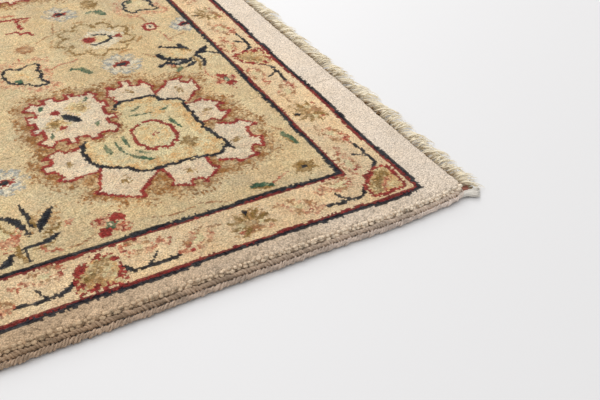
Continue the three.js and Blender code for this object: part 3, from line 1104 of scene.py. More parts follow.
PATCH = 9.0                           # how wide the patches are where another dye shows through
PATCH_GRAIN = 0.7                     # how much that differs from knot to knot
PATCHES = 1.6                         # how strongly it comes and goes
CLOUD = 0.06                          # how much lighter or darker clouds of the pile are
CLOUD_LUMP = 28
MIDDLE_PAINTED_LIGHT = 0.09                   # how much painted light brightens the pile away from the long sides
MIDDLE_LIGHT_FROM = 60                       # how far in that starts, and over what way it grows
MIDDLE_LIGHT_OVER = 150
# Warmth of the wool: how much it differs from knot to knot, and in lumps of two sizes
WARM_KNOTS = 0.014
WARM_LUMPS = [(0.035, 34, 12), (0.02, 9, 13)]
WARM_PLAIN = 0.4                      # what share of it the plain band has
NEIGHBOURS = 0.22                     # how much of its neighbours' colour a knot's corner takes
# The corners of a knot, up and along from its first one
KNOT_CORNERS = [(0, 0), (0, 1), (1, 1), (1, 0)]


def warm_tone(chart, draw):
    """What each knot's colour is multiplied by to be a little warmer or cooler."""
    warmth = WARM_KNOTS * draw.normal(0, 1, chart.dye.shape).clip(-2, 2)
    for strength, lump, seed in WARM_LUMPS:
        warmth = warmth + strength * lattice_noise(chart.x, chart.y, lump, SEED + seed)
    warmth = np.where(chart.dye == DYE_NUMBER["plain"], WARM_PLAIN, 1.0) * warmth
    return np.stack([1 + warmth, np.ones_like(warmth), 1 - 1.5 * warmth], axis=-1)


def knot_colours(chart):
    """Each knot's colour, uneven from knot to knot and in long bands where a new batch of wool began, with
    painted shade along the sides and painted light away from them.
    """
    draw = np.random.default_rng(SEED + 7)
    dyes = DYES.values()
    size = chart.dye.shape
    vat = np.array([linear(dye.colour) for dye in dyes])
    spread = np.array([dye.spread for dye in dyes])[chart.dye]
    through = np.array([DYE_NUMBER[dye.through] for dye in dyes])[chart.dye]
    share = np.array([dye.share for dye in dyes])[chart.dye]
    patches = lattice_noise(chart.x, chart.y, PATCH, SEED + 4) + PATCH_GRAIN * draw.uniform(-1, 1, size)
    share = (share * (1 + PATCHES * patches)).clip(0, 0.9)[..., None]
    colours = vat[chart.dye] * (1 - share) + vat[through] * share
    plain = (chart.dye == DYE_NUMBER["plain"])[..., None]
    # Painted shade: the plain wool darker towards the middle of the sides
    colours = np.where(plain, colours * side_painted_shade(chart.x), colours)
    batches = 0.035 * np.sin(chart.x / 61 + 0.8 * np.sin(chart.x / 23)) + 0.02 * np.sin(chart.x / 17)
    clouds = CLOUD * lattice_noise(chart.x, chart.y, CLOUD_LUMP, SEED + 8)
    # Painted light: the pile lighter away from the long sides
    middle_light = MIDDLE_PAINTED_LIGHT * ((HALF_WIDTH - MIDDLE_LIGHT_FROM - np.abs(chart.y)) / MIDDLE_LIGHT_OVER).clip(0, 1)
    shade = 1 + spread * draw.normal(0, 1, size).clip(-2, 2) + batches + clouds + middle_light
    return colours * shade[..., None] * warm_tone(chart, draw)


def pile_corner_colours(colours, light):
    """Colours for each knot's corners: its own, a little of its neighbours', with painted shade in the dips.
    """
    padded = np.pad(colours, ((SKIRT, SKIRT), (SKIRT, SKIRT), (0, 0)), mode="edge")
    ring = np.pad(padded, ((1, 1), (1, 1), (0, 0)), mode="edge")
    around = (ring[:-1, :-1] + ring[1:, :-1] + ring[:-1, 1:] + ring[1:, 1:]) / 4
    shade = (1 + TIP_SHADE * light).clip(0.35, 1.4)[..., None]
    corners = []
    for dj, di in KNOT_CORNERS:
        rows = slice(dj, dj + padded.shape[0])
        columns = slice(di, di + padded.shape[1])
        mixed = (1 - NEIGHBOURS) * padded + NEIGHBOURS * around[rows, columns]
        corners.append(mixed * shade[rows, columns])
    return np.stack(corners, axis=2)


# The pile, in long bands of knots

BANDS = 4
BAND_SEGMENTS = 3                     # lengths that a band is cut into on the bake's map
MAP_SPARE = 4                         # rows left free on the map beside each length
HIDDEN_TONE = 0.3                     # the colour of the faces that nobody sees


def point_numbers(height, width):
    """Numbers of the surface's points. At a corner of the plan two upright edges share one line of points."""
    ids = np.arange(height * width).reshape(height, width)
    for level in range(1, SKIRT + 1):
        for j_corner, j_out in [(SKIRT, SKIRT - level), (height - 1 - SKIRT, height - 1 - SKIRT + level)]:
            ids[j_corner, SKIRT - level] = ids[j_out, SKIRT]
            ids[j_corner, width - 1 - SKIRT + level] = ids[j_out, width - 1 - SKIRT]
    return ids


def hidden_faces(ids, number, first, last):
    """The underside of a band from row `first` to row `last`, and its cut sides where other bands join it."""
    height, width = ids.shape
    ends = slice(max(first, SKIRT), min(last, height - 1 - SKIRT) + 1)
    under = [ids[ends, 0]]
    cuts = []
    if number == BANDS - 1:
        under.append(ids[height - 1, SKIRT + 1 : width - 1 - SKIRT])
    else:
        cuts.append([ids[last]])
    under.append(ids[ends, width - 1][::-1])
    if number == 0:
        under.append(ids[0, SKIRT + 1 : width - 1 - SKIRT][::-1])
    else:
        cuts.append([ids[first][::-1]])
    return [[np.concatenate(under)], *cuts]


def renumbered(faces):
    """The points that some faces use, and the faces with those points numbered from 0."""
    used, numbers = np.unique(flat(faces), return_inverse=True)
    ends = np.cumsum([np.size(block) for block in faces])[:-1]
    return used, [part.reshape(np.shape(block)) for part, block in zip(np.split(numbers, ends), faces)]


def map_for_bake(piece, j, i, rows, hidden):
    """The bake's map: the band cut into lengths that lie one above the other, then what is hidden.

    j and i are each knot's row in the band and its column, and hidden has the places of the other corners.
    """
    run = math.ceil((COLUMNS + 2 * SKIRT) / BAND_SEGMENTS)
    lane = rows + MAP_SPARE
    tall = lane * BAND_SEGMENTS
    segment = i // run
    maps = []
    for dj, di in KNOT_CORNERS:
        across = (i - segment * run + di + 1) / (run + 2)
        up = (segment * lane + j + dj + 1) / tall
        maps.append(np.stack([across, up], axis=-1))
    shown_map = np.stack(maps, axis=1).reshape(-1, 2)
    # What is hidden takes up the spare rows over the first length
    start = (rows + 2.2) / tall
    hidden_map = np.stack([(hidden[:, 0] + METRE) / (2 * METRE), start + hidden[:, 2] / 40 / tall], axis=-1)
    layer = piece.data.uv_layers.new(name="OFBake")
    layer.data.foreach_set("uv", np.concatenate([shown_map, hidden_map]).astype(np.float32).ravel())


def pile_band(number, surface, corners):
    """One closed band of the pile, from its knots' tips down to the foundation."""
    height, width = surface.shape[:2]
    points = surface.reshape(-1, 3)
    ids = point_numbers(height, width)
    inner = ROWS // BANDS
    first = 0 if number == 0 else SKIRT + number * inner
    last = height - 1 if number == BANDS - 1 else SKIRT + (number + 1) * inner
    j, i = np.meshgrid(np.arange(first, last), np.arange(width - 1), indexing="ij")
    outside = ((j < SKIRT) | (j >= height - 1 - SKIRT)) & ((i < SKIRT) | (i >= width - 1 - SKIRT))
    j, i = j[~outside], i[~outside]
    quads = np.stack([ids[j + dj, i + di] for dj, di in KNOT_CORNERS], axis=-1)
    others = hidden_faces(ids, number, first, last)
    used, faces = renumbered([quads, *others])
    piece = new_mesh(f"pile_band_{number + 1}", points[used], faces, PILE_WOOL)
    # The cut sides and the underside stay flat, so that no shading runs over the joins between the bands
    piece.data.polygons.foreach_set("use_smooth", np.arange(len(piece.data.polygons)) < len(quads))
    hidden = points[flat(others)]
    shown = corners[j, i].reshape(-1, 3)
    corner_colours(piece, np.concatenate([shown, np.full_like(hidden, HIDDEN_TONE)]))
    map_for_bake(piece, j - first, i, last - first, hidden)
    return piece


# The woven back

BACK_CELLS = (184, 114)               # along and across
BACK_INSET = 1.2
BACK_FADED = 0.35                     # how far its knots have faded
BACK_FADED_TO = (214, 200, 172)
BACK_EDGE = (206, 190, 160)


def woven_back(colours):
    """The foundation with the backs of the knots under it: a thin closed slab, patterned underneath."""
    along, across = BACK_CELLS
    x = np.linspace(-HALF_LENGTH, HALF_LENGTH, along + 1)
    y = np.linspace(-HALF_WIDTH, HALF_WIDTH, across + 1)
    x, y = wandered(*rounded_corner(*np.meshgrid(x, y))[:2])
    x = x * (1 - BACK_INSET / HALF_LENGTH)
    y = y * (1 - BACK_INSET / HALF_WIDTH)
    points = np.stack([x, y, np.zeros_like(x)], axis=-1).reshape(-1, 3)
    ids = np.arange(x.size).reshape(x.shape)
    quads = np.stack([ids[:-1, :-1], ids[1:, :-1], ids[1:, 1:], ids[:-1, 1:]], axis=-1).reshape(-1, 4)
    rim = np.concatenate([ids[0, :-1], ids[:-1, -1], ids[-1, :0:-1], ids[:0:-1, 0]])
    upper = points[rim] + (0, 0, FOUNDATION)
    raised = ids.size + np.arange(len(rim))
    walls = np.stack([rim, np.roll(rim, -1), np.roll(raised, -1), raised], axis=-1)
    piece = new_mesh("woven_back", np.concatenate([points, upper]), [quads, walls, [raised]], BACK_WOOL)
    step = COLUMNS // along
    small = colours.reshape(ROWS // step, step, COLUMNS // step, step, 3).mean(axis=(1, 3))
    pale = BACK_FADED * linear(BACK_FADED_TO) + (1 - BACK_FADED) * small
    each = np.repeat(pale.reshape(-1, 3), 4, axis=0)
    rest = np.tile(linear(BACK_EDGE), (walls.size + len(rim), 1))
    corner_colours(piece, np.concatenate([each, rest]))
    return piece


# Yarn wrapped, tufted or hung along a line, by Geometry Nodes

def line_object(name, line):
    """A line in millimetres as an object of bare edges, for a tree to follow."""
    mesh = bpy.data.meshes.new(name)
    mesh.from_pydata((line * MM).tolist(), [(k, k + 1) for k in range(len(line) - 1)], [])
    return placed(name, mesh)


def new_tree(name, sockets):
    """A Geometry Nodes tree with named inputs: its graph, and the outputs of its group input."""
    tree = bpy.data.node_groups.new(name, "GeometryNodeTree")
    tree.interface.new_socket("Geometry", in_out="INPUT", socket_type="NodeSocketGeometry")
    for socket, kind in sockets.items():
        tree.interface.new_socket(socket, in_out="INPUT", socket_type="NodeSocket" + kind)
    tree.interface.new_socket("Geometry", in_out="OUTPUT", socket_type="NodeSocketGeometry")
    graph = Graph(tree)
    return graph, graph.add("NodeGroupInput").outputs


def finish_tree(graph, shape, material):
    """Ends a tree: the instances made real, smooth and in their material."""
    real = graph.shape("RealizeInstances", {"Geometry": shape})
    smooth = graph.shape("SetShadeSmooth", {"Geometry": real})
    dressed = graph.shape("SetMaterial", {"Geometry": smooth, "Material": material})
    graph.add("NodeGroupOutput", {"Geometry": dressed})
    return graph.tree


def grown(name, source, tree, values):
    """Runs a tree on an object and gives the result as a plain mesh; the object itself goes."""
    modifier = source.modifiers.new("grow", "NODES")
    modifier.node_group = tree
    for item in tree.interface.items_tree:
        if item.item_type == "SOCKET" and item.in_out == "INPUT" and item.name in values:
            modifier[item.identifier] = values[item.name]
    evaluated = source.evaluated_get(bpy.context.evaluated_depsgraph_get())
    mesh = bpy.data.meshes.new_from_object(evaluated)
    mesh.name = name
    bpy.data.objects.remove(source)
    return placed(name, mesh)


def beads_tree():
    """Sets one small shape along a line, each copy turned, sized and shifted by chance, round a core."""
    graph, given = new_tree("beads_along_lines", {
        "Bead": "Object", "Spacing": "Float", "Slant": "Float", "Tilt": "Float", "Smallest": "Float",
        "Shift": "Vector", "Core": "Vector", "Seed": "Int", "Material": "Material",
    })
    line = graph.shape("MeshToCurve", {"Mesh": given["Geometry"]})
    spaced = graph.shape("ResampleCurve", {"Curve": line, "Length": given["Spacing"]}, mode="LENGTH")
    shift = graph.vector_chance(graph.scaled(given["Shift"], -1.0), given["Shift"], given["Seed"])
    strewn = graph.shape("SetPosition", {"Geometry": spaced, "Offset": shift})
    luck = graph.chance(-1.0, 1.0, graph.plus(given["Seed"], 1.0))
    slant = graph.times(luck, given["Slant"])
    turn = graph.get("ShaderNodeCombineXYZ", {"X": given["Tilt"], "Z": slant})
    size = graph.chance(given["Smallest"], 1.0, graph.plus(given["Seed"], 2.0))
    bead = graph.add("GeometryNodeObjectInfo", {"Object": given["Bead"]}).outputs["Geometry"]
    beads = graph.shape("InstanceOnPoints", {
        "Points": strewn, "Instance": bead, "Rotation": turn, "Scale": size,
    })
    circle = graph.shape("CurvePrimitiveCircle", {"Resolution": 8, "Radius": 1.0})
    section = graph.shape("Transform", {"Geometry": circle, "Scale": given["Core"]})
    core = graph.shape("CurveToMesh", {"Curve": line, "Profile Curve": section, "Fill Caps": True})
    whole = graph.add("GeometryNodeJoinGeometry")
    graph.tree.links.new(beads, whole.inputs[0])
    graph.tree.links.new(core, whole.inputs[0])
    return finish_tree(graph, whole.outputs[0], given["Material"])


YARN_POINTS = 7
YARN_SIDES = 3
REACH_LUCK = 1.5                      # how much of a yarn's reach is its own, next to its lock's
LOCK_LEAN = (2.1, -0.5)               # how much one lock leans more than the next, and how all lean
OWN_LEAN = 1.1                        # how much each yarn leans its own way
WAVE_WIDE = 3.4                       # how far a yarn waves to each side, and how often
WAVE_OFTEN = 1.6
LOW_ARCH = 0.35                       # the lowest yarn's arch, as a share of the highest one's
YARN_TAPER = 0.25                     # its thickness at the tip, as a share of that at the root


def yarns_from_roots(graph, given):
    """Straight yarns on points of the line, which keep the root's place and a chance of their own."""
    line = graph.shape("MeshToCurve", {"Mesh": given["Geometry"]})
    roots = graph.shape("ResampleCurve", {"Curve": line, "Count": given["Yarns"]})
    chance = graph.vector_chance((-1, -1, 0), (1, 1, 1), given["Seed"])
    for name, value in [("root", graph.get("GeometryNodeInputPosition")), ("chance", chance)]:
        inputs = {"Geometry": roots, "Name": name, "Value": value}
        roots = graph.shape("StoreNamedAttribute", inputs, data_type="FLOAT_VECTOR", domain="POINT")
    straight = graph.shape("CurvePrimitiveLine", {"Start": (0, 0, 0), "End": (1, 0, 0)})
    yarn = graph.shape("ResampleCurve", {"Curve": straight, "Count": YARN_POINTS})
    yarns = graph.shape("InstanceOnPoints", {"Points": roots, "Instance": yarn})
    return graph.shape("RealizeInstances", {"Geometry": yarns})


def stored(graph, name):
    """The X, Y and Z of an attribute of the yarns."""
    return graph.parts(graph.shape("InputNamedAttribute", {"Name": name}, data_type="FLOAT_VECTOR"))


def yarn_height(graph, given, luck, along):
    """From the root, at a height of the yarn's own, over a small arch down to the floor."""
    start = graph.times(given["Root height"], luck)
    falling = graph.minus(1.0, graph.times(along, along))
    rise = graph.maths("SINE", graph.times(along, math.pi))
    arch = graph.times(graph.times(given["Arch"], rise), graph.between(luck, LOW_ARCH, 1.0))
    return graph.plus(graph.times_plus(start, falling, arch), given["Thickness"])


def fringe_tree():
    """Yarns that leave a line towards +x, gathered into locks, leaning and sinking to the floor."""
    graph, given = new_tree("warp_ends", {
        "Yarns": "Int", "Lock": "Float", "Reach": "Float", "Reach spread": "Float", "Lean": "Float",
        "Gather": "Float", "Root height": "Float", "Arch": "Float", "Thickness": "Float", "Seed": "Int",
        "Material": "Material",
    })
    yarns = yarns_from_roots(graph, given)
    root = stored(graph, "root")
    luck = stored(graph, "chance")
    along = graph.add("GeometryNodeSplineParameter").outputs["Factor"]
    to_tip = graph.minus(1.0, along)
    # Each lock's middle, and the chances that its yarns share
    number = graph.maths("FLOOR", graph.maths("DIVIDE", root["Y"], given["Lock"]))
    in_lock = graph.times(graph.plus(number, 0.5), given["Lock"])
    lock_seed = graph.plus(number, given["Seed"])
    noise = graph.add("ShaderNodeTexWhiteNoise", {"W": lock_seed}, noise_dimensions="1D")
    lock_luck = graph.parts(noise.outputs["Color"])
    lock_side = graph.between(lock_luck["X"], -1.0, 1.0)
    lock_far = graph.between(lock_luck["Y"], -1.0, 1.0)
    # How far each yarn reaches, and where along it this point is
    spread = graph.times(given["Reach spread"], graph.times_plus(luck["X"], REACH_LUCK, lock_far))
    x = graph.times_plus(along, graph.plus(given["Reach"], spread), root["X"])
    # Sideways: gathered at the root and fanned out from there, each lock and each yarn leaning its own way
    gather = graph.times(given["Gather"], graph.times(to_tip, to_tip))
    gathered = graph.times(graph.minus(in_lock, root["Y"]), gather)
    own_way = graph.times_plus(luck["Y"], OWN_LEAN, graph.times_plus(lock_side, *LOCK_LEAN))
    lean = graph.times(given["Lean"], own_way)
    y = graph.plus(root["Y"], graph.times_plus(lean, along, gathered))
    phase = graph.plus(graph.times(along, WAVE_OFTEN), graph.times(luck["X"], 60.0))
    wave = graph.get("ShaderNodeTexNoise", {"W": phase, "Scale": 1.0, "Detail": 1.0}, noise_dimensions="1D")
    y = graph.plus(y, graph.times(graph.between(wave, -WAVE_WIDE * MM, WAVE_WIDE * MM), along))
    z = yarn_height(graph, given, luck["Z"], along)
    place = graph.get("ShaderNodeCombineXYZ", {"X": x, "Y": y, "Z": z})
    laid = graph.shape("SetPosition", {"Geometry": yarns, "Position": place})
    taper = graph.between(graph.maths("POWER", along, 2.0), 1.0, YARN_TAPER)
    radius = graph.times(given["Thickness"], taper)
    laid = graph.shape("SetCurveRadius", {"Curve": laid, "Radius": radius})
    circle = graph.shape("CurvePrimitiveCircle", {"Resolution": YARN_SIDES, "Radius": 1.0})
    inputs = {"Curve": laid, "Profile Curve": circle, "Fill Caps": True}
    tubes = graph.add("GeometryNodeCurveToMesh", inputs)
    if "Scale" in tubes.inputs:
        graph.tree.links.new(graph.get("GeometryNodeInputRadius"), tubes.inputs["Scale"])
    return finish_tree(graph, tubes.outputs[0], given["Material"])


# The overcast cords along the sides: how far out from the pile and how high their middles lie, their half
# sizes, how far along the cord one turn of the yarn climbs, and their colour at the ends, which painted shade
# darkens towards the middle
Cord = namedtuple("Cord", "name out up wide tall climb colour")
CORDS = [
    Cord("inner_cord", 2.8, 5.9, 2.3, 3.8, -1.8, (212, 194, 177)),
    Cord("outer_cord", 7.2, 3.7, 2.4, 2.9, 2.0, (220, 205, 194)),
]
WRAP_PITCH = 3.7
WRAP_ARC = (-55, 160)                 # the turns' arc, in degrees from the way out, over the top
WRAP_STEPS = 7
CORE_SHARE = 0.76                     # the core's half sizes, as a share of the cord's
CORD_END = 4                          # how far short of the pile's end the cords stop
CORD_POINTS = 140
CORNER_IN = 3.0                       # how far the cords turn in at the corners
CORNER_OVER = 12                      # and over what way
BULGE = 1.3                           # how much further out the outer cord stands, away from the corners
BULGE_FROM = 200                      # how far from the ends that starts, and over what way it grows
BULGE_OVER = 150
# The section of one turn of the yarn: how far along the cord, as a share of the pitch, and how far out
WRAP_SECTION = [(0.50, -1.2), (0.24, 0.9), (-0.24, 0.8), (-0.50, -1.2)]


def wrap_bead(cord):
    """One turn of the overcasting yarn, which climbs aslant over the side of the cord that shows."""
    rings = []
    for turn in np.radians(np.linspace(*WRAP_ARC, WRAP_STEPS)):
        out = np.array([0, -math.cos(turn), math.sin(turn)])
        middle = out * (0, cord.wide, cord.tall) + (cord.climb * (turn - 1.0), 0, 0)
        rings.append(np.array([
            middle + out * proud + (share * WRAP_PITCH, 0, 0) for share, proud in WRAP_SECTION
        ]))
    return new_mesh("wrap_bead", *lofted(rings), CORD_WOOL)


def toned(piece, colour, cell, spread, notch_shade=0.0):
    """Colours a piece at the front like the plain wool, with its painted shade towards the middle of the
    sides, in lumps of its own, and with painted shade at the notches where asked.
    """
    x, y, z = points_of(piece)
    own = 1 + spread * lattice_noise(x + 2 * z, y - z, cell, SEED + 30)
    # Painted shade at the notches between the tufts
    own = own * (1 - notch_shade * notch(x, y - front_edge(x)))
    vertex_colours(piece, linear(colour) * side_painted_shade(x) * own[:, None])


def half_turned(piece, name):
    """A copy of a piece for the rug's other side or end, turned half round."""
    mesh = piece.data.copy()
    mesh.name = name
    mesh.transform(Matrix.Rotation(math.pi, 4, "Z"))
    return placed(name, mesh)


BEADS_TREE = beads_tree()


def beaded(name, line, bead, values):
    """Copies of a bead along a line; the bead itself goes."""
    piece = grown(name, line_object("line", line), BEADS_TREE, {"Bead": bead, **values})
    bpy.data.objects.remove(bead)
    return piece


def overcast_cords():
    """Both cords on both sides, wrapped aslant."""
    pieces = []
    x = np.linspace(-HALF_LENGTH + CORD_END, HALF_LENGTH - CORD_END, CORD_POINTS)
    at_corner = ((np.abs(x) - HALF_LENGTH + (CORD_END + CORNER_OVER)) / CORNER_OVER).clip(0, 1)
    turned_in = CORNER_IN * at_corner**2
    fuller = BULGE * ((HALF_LENGTH - BULGE_FROM - np.abs(x)) / BULGE_OVER).clip(0, 1)
    for number, cord in enumerate(CORDS):
        y = front_edge(x) - GAP - cord.out + 0.35 * np.sin(x / 23 + number) + turned_in - fuller * number
        z = cord.up + 0.15 * np.sin(x / 37 + 2 * number)
        front = beaded(cord.name + "_front", np.stack([x, y, z], axis=-1), wrap_bead(cord), {
            "Spacing": WRAP_PITCH * MM, "Slant": math.radians(13), "Tilt": 0.0, "Smallest": 0.74,
            "Shift": Vector((1.0, 0.5, 0.3)) * MM,
            "Core": Vector((cord.wide * CORE_SHARE, cord.tall * CORE_SHARE, 1)) * MM,
            "Seed": SEED + number, "Material": CORD_WOOL,
        })
        toned(front, cord.colour, 3.6, 0.38)
        pieces += [front, half_turned(front, cord.name + "_back")]
    return pieces


# Rows of loose tufts where the pile turns over the shoulder: depth in from the edge, height, how far apart
# they stand, and how much longer than wide each one is
TuftRow = namedtuple("TuftRow", "depth up spacing longer")
TUFT_ROWS = [TuftRow(0.1, 10.0, 6.4, 1.24), TuftRow(2.2, 12.3, 5.2, 1.15)]
# The tufts' wool is paler than the plain dye: painted light on the rolled edge
TUFT_LIT_COLOUR = (252, 236, 214)
TUFT_SIDES = 6
# A clump's rings, from its root to its tip: height and radius
TUFT_RINGS = [(-1.5, 2.1), (0.1, 2.9), (1.5, 1.9)]
TUFTS_END = 5                         # how far short of the pile's end the rows stop
TUFT_POINTS = 90


def tuft_bead(longer):
    """A clump of cut wool, a lump a few millimetres across that stands on its root."""
    turns = np.linspace(0, 2 * math.pi, TUFT_SIDES, endpoint=False)
    rings = [
        np.stack([longer * radius * np.cos(turns), radius * np.sin(turns), np.full(TUFT_SIDES, up)], axis=-1)
        for up, radius in TUFT_RINGS
    ]
    return new_mesh("tuft_bead", *lofted(rings), EDGE_WOOL)


def edge_tufts():
    """The coarse tufts along both sides, row by row."""
    pieces = []
    x = np.linspace(-HALF_LENGTH + TUFTS_END, HALF_LENGTH - TUFTS_END, TUFT_POINTS)
    for number, row in enumerate(TUFT_ROWS):
        name = f"edge_tufts_{number + 1}"
        line = np.stack([x, front_edge(x) + row.depth, np.full(len(x), row.up)], axis=-1)
        front = beaded(name + "_front", line, tuft_bead(row.longer), {
            "Spacing": row.spacing * MM, "Slant": math.radians(24), "Tilt": math.radians(4),
            "Smallest": 0.66, "Shift": Vector((2.2, 0.8, 0.5)) * MM, "Core": Vector((0.2, 0.2, 1)) * MM,
            "Seed": SEED + 5 + 3 * number, "Material": EDGE_WOOL,
        })
        toned(front, TUFT_LIT_COLOUR, 3.5, 0.20, notch_shade=0.65)
        pieces += [front, half_turned(front, name + "_back")]
    return pieces


STRIP_STEPS = 225
STRIP_HIGH = 6.4                      # its height at the pile
STRIP_LOW = 4.4                       # and six tenths of its width further out
STRIP_WIDE = 9.5


def end_strips():
    """The flat-woven strip that the warp ends leave, under the fringe, dark brown with painted shade."""
    rings = []
    inset = EDGE_BAND + DRAWN_IN
    for y in np.linspace(-HALF_WIDTH + inset, HALF_WIDTH - inset, STRIP_STEPS):
        start = right_end(y) + GAP
        rise = 0.25 * math.sin(y * 2.3)
        wide = STRIP_WIDE + 2.0 * math.sin(y * 0.31) + 1.5 * math.sin(y * 0.83 + 1)
        rings.append(np.array([
            (start, y, 0), (start, y, STRIP_HIGH + rise), (start + 0.6 * wide, y, STRIP_LOW + rise),
            (start + wide, y, 0),
        ]))
    right = new_mesh("end_strip_right", *lofted(rings), STRIP_SHADED_COTTON)
    return [right, half_turned(right, "end_strip_left")]


YARNS = 1000                          # at each end
YARN_LOCK = 8.2                       # how far apart the bunches are
YARN_ROOT = 0.9                       # how far beyond the pile they start
# The brown at the yarns' roots is painted shade
YARN_ROOT_SHADE = (122, 88, 46)
YARN_TIP_COLOUR = (255, 242, 214)
YARN_PALES = 8                        # how far along they are fully pale
YARN_SHADY = 15                       # how far out the painted shade of the hollows between the bunches reaches
FRINGE_INSET = EDGE_BAND + DRAWN_IN - 4.5


def yarn_colours(x, y):
    """Painted shade, brown at the roots and in the hollows between the bunches, and pale at the tips."""
    past = x - right_end(y) - YARN_ROOT
    hollow = (2.2 * lattice_noise(x, y, 4, SEED + 32) - 0.35).clip(0, 1)
    hollow = hollow * (1.4 - past / YARN_SHADY * 1.5).clip(0, 1)
    share = ((past / YARN_PALES).clip(0, 1) ** 0.7 * (1 - hollow))[:, None]
    own = 1 + 0.12 * lattice_noise(x, y, 3, SEED + 31)
    return (linear(YARN_ROOT_SHADE) * (1 - share) + linear(YARN_TIP_COLOUR) * share) * own[:, None]


def fringes():
    y = np.linspace(-HALF_WIDTH + FRINGE_INSET, HALF_WIDTH - FRINGE_INSET, 120)
    line = np.stack([right_end(y) + YARN_ROOT, y, np.zeros_like(y)], axis=-1)
    right = grown("fringe_yarns_right", line_object("fringe", line), fringe_tree(), {
        "Yarns": YARNS, "Lock": YARN_LOCK * MM, "Reach": (LOCK_REACH + 1.5) * MM, "Reach spread": 4.4 * MM,
        "Lean": 7.5 * MM, "Gather": 0.92, "Root height": 7.5 * MM, "Arch": 5.2 * MM,
        "Thickness": 0.92 * MM, "Seed": SEED + 9, "Material": COTTON,
    })
    vertex_colours(right, yarn_colours(*points_of(right)[:2]))
    return [right, half_turned(right, "fringe_yarns_left")]


# The tab at a corner: the end of the overcast cords, a flat bunch of strands that splays out past the pile's
# end. Its course: how far past that end, how far outside the pile's side its middle lies, half its width, and
# its height
TAB_COURSE = {
    "past": (-9.0, 0.0, 8.0, 16.0, 24.0),
    "out": (4.0, 5.2, 7.8, 10.2, 12.0),
    "half": (2.6, 3.6, 5.8, 8.2, 9.8),
    "up": (4.6, 4.6, 3.8, 3.0, 2.7),
}
TAB_SHORTER = 0.34                    # how much shorter the outermost strand is than the innermost
TAB_COTTON = (228, 222, 212)
TAB_OLIVE = (150, 126, 84)
TAB_BRICK = (150, 92, 74)
# Its strands: how many, from which side of the bunch to which (-1 inner, 1 outer), how far, high and thick
Strands = namedtuple("Strands", "count first last reach up radius colour")
TAB_STRANDS = [
    Strands(11, -1.0, 0.95, 1.0, 0.0, 1.15, TAB_COTTON),
    Strands(9, -0.9, 0.85, 0.95, 1.5, 1.25, TAB_COTTON),
    Strands(5, -2.6, -1.3, 0.80, 0.6, 1.0, TAB_OLIVE),
    Strands(5, -2.1, -1.1, 0.56, 2.2, 1.4, TAB_BRICK),
]
TAB_STEPS = 9
TAB_SIDES = 5
TAB_TAPER = 0.45                      # how much thinner a strand's tip is than its root
TAB_OVER_FLOOR = 0.1


def tube(path, radii):
    """Rings of points round a strand along a path."""
    run = np.gradient(path, axis=0)
    run = run / np.linalg.norm(run, axis=1)[:, None]
    side = np.cross((0, 0, 1), run)
    side = side / np.linalg.norm(side, axis=1)[:, None]
    up = np.cross(run, side)
    turns = np.linspace(0, 2 * math.pi, TAB_SIDES, endpoint=False)
    return [
        middle + radius * (np.cos(turns)[:, None] * across + np.sin(turns)[:, None] * over)
        for middle, radius, across, over in zip(path, radii, side, up)
    ]


def tab_strand(side, row, place, draw):
    """The path of one strand of a tab and its thickness; side is 1 at the front and -1 at the back."""
    past = TAB_COURSE["past"]
    shares = np.linspace(0, 1, TAB_STEPS)
    reach = draw.uniform(0.9, 1.0) * row.reach * (1 - TAB_SHORTER * (place + 1) / 2)
    along = past[0] + (past[-1] - past[0]) * reach * shares
    out, half, up = (np.interp(along, past, TAB_COURSE[column]) for column in ("out", "half", "up"))
    wave = 0.5 * np.sin(along / 3.1 + draw.uniform(0, 6)) * np.linspace(0.3, 1, TAB_STEPS)
    x = HALF_LENGTH + along
    edge = front_edge(x) if side > 0 else -front_edge(-x)
    y = edge - side * (out + half * place + wave)
    radii = row.radius * (1 - TAB_TAPER * shares**5)
    z = up - 1.2 + row.up + 0.4 * np.sin(along / 2.3 + draw.uniform(0, 6))
    return np.stack([x, y, np.maximum(z, radii + TAB_OVER_FLOOR)], axis=-1), radii


def corner_tab(name, side):
    draw = np.random.default_rng(SEED + 20)
    strands, dyes = [], []
    for row in TAB_STRANDS:
        for place in np.linspace(row.first, row.last, row.count):
            strands.append(lofted(tube(*tab_strand(side, row, place, draw))))
            dyes.append(linear(row.colour) * draw.uniform(0.86, 1.08))
    size = len(strands[0][0])
    points = np.concatenate([strand[0] for strand in strands])
    faces = [
        np.concatenate([np.asarray(strand[1][kind]) + size * number for number, strand in enumerate(strands)])
        for kind in range(3)
    ]
    piece = new_mesh(name, points, faces, TAB_YARN)
    shares = [block.size // len(strands) for block in faces]
    corner_colours(piece, np.concatenate([np.repeat(dyes, share, axis=0) for share in shares]))
    return piece


def corner_tabs():
    front = corner_tab("corner_tab_1", 1)
    back = corner_tab("corner_tab_2", -1)
    return [front, back, half_turned(front, "corner_tab_3"), half_turned(back, "corner_tab_4")]


# Making the rug

chart = drawn_chart()
colours = knot_colours(chart)
surface, light = pile_surface()
corners = pile_corner_colours(colours, light)
bands = [pile_band(number, surface, corners) for number in range(BANDS)]
back = woven_back(colours)
cords = overcast_cords()
tufts = edge_tufts()
strips = end_strips()
yarns = fringes()
tabs = corner_tabs()

for piece in [*bands, back, *tufts]:
    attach(piece, "root")
for piece in cords:
    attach(piece, "root")
for piece in [*strips, *yarns, *tabs]:
    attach(piece, "root")
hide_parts("pile_carpet")
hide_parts("selvedge_front")
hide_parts("selvedge_back")
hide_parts("fringe_right")
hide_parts("fringe_left")


# The floor and the light, in metres

FLOOR_HALF = 8.0
FLOOR_DROP = 0.2 * MM                 # how far below the rug it lies
FLOOR_FINISH = {"Base Color": (0.80, 0.795, 0.80, 1), "Roughness": 0.55, "Specular IOR Level": 0.3}
SKY = {"Color": (1.0, 0.995, 0.99, 1), "Strength": 0.62}
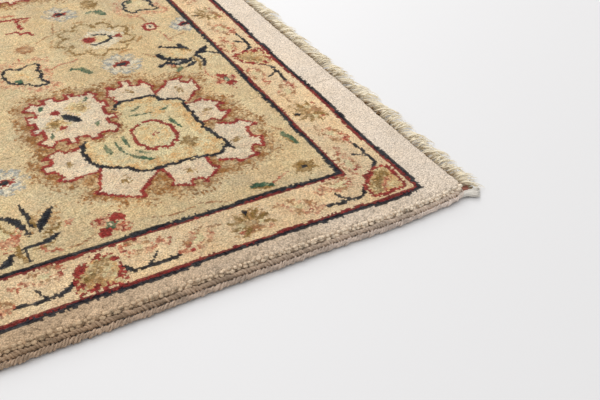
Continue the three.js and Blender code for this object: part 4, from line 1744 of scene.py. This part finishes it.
# The soft lamps: where each stands, how wide it is and its power; and the place that they point at
LAMPS = {"window": ((1.6, 2.4, 2.2), 2.4, 62), "ceiling": ((-0.6, 0.2, 3.2), 3.0, 34)}
LAMPS_AIM = (0.4, -0.2, 0)


def set_inputs(node, values):
    for name, value in values.items():
        node.inputs[name].default_value = value


def floor():
    material = bpy.data.materials.new("pale_floor")
    material.use_nodes = True
    set_inputs(material.node_tree.nodes["Principled BSDF"], FLOOR_FINISH)
    mesh = bpy.data.meshes.new("floor")
    square = [(x * FLOOR_HALF, y * FLOOR_HALF, 0) for x, y in [(-1, -1), (1, -1), (1, 1), (-1, 1)]]
    mesh.from_pydata(square, [], [(0, 1, 2, 3)])
    mesh.materials.append(material)
    piece = placed("floor", mesh)
    piece.location.z = -FLOOR_DROP


def light_room():
    world = bpy.data.worlds.new("studio")
    world.use_nodes = True
    set_inputs(world.node_tree.nodes["Background"], SKY)
    bpy.context.scene.world = world
    for name, (place, size, power) in LAMPS.items():
        data = bpy.data.lights.new(name, "AREA")
        data.size = size
        data.energy = power
        lamp = placed(name, data)
        lamp.location = place
        aim = Vector(LAMPS_AIM) - Vector(place)
        lamp.rotation_euler = aim.to_track_quat("-Z", "Y").to_euler()
    bpy.context.scene.view_settings.view_transform = "Standard"


# The camera, in millimetres, but for the nearest and furthest that it sees, in metres

CAMERA_PLACE = (400.6, -1049.0, 514.5)
CAMERA_TURNS = [(-31.44, "Z"), (51.94, "X"), (3.11, "Z")]  # its heading, tilt and roll, in degrees
CAMERA_LENS = 43.87
CAMERA_SENSOR = 36
CAMERA_SEES = (0.05, 50)


def camera():
    data = bpy.data.cameras.new("camera")
    data.lens = CAMERA_LENS
    data.sensor_width = CAMERA_SENSOR
    data.clip_start, data.clip_end = CAMERA_SEES
    matrix = Matrix.Translation(Vector(CAMERA_PLACE) * MM)
    for angle, axis in CAMERA_TURNS:
        matrix = matrix @ Matrix.Rotation(math.radians(angle), 4, axis)
    view = placed("camera", data)
    view.matrix_world = matrix
    bpy.context.scene.camera = view


floor()
light_room()
camera()
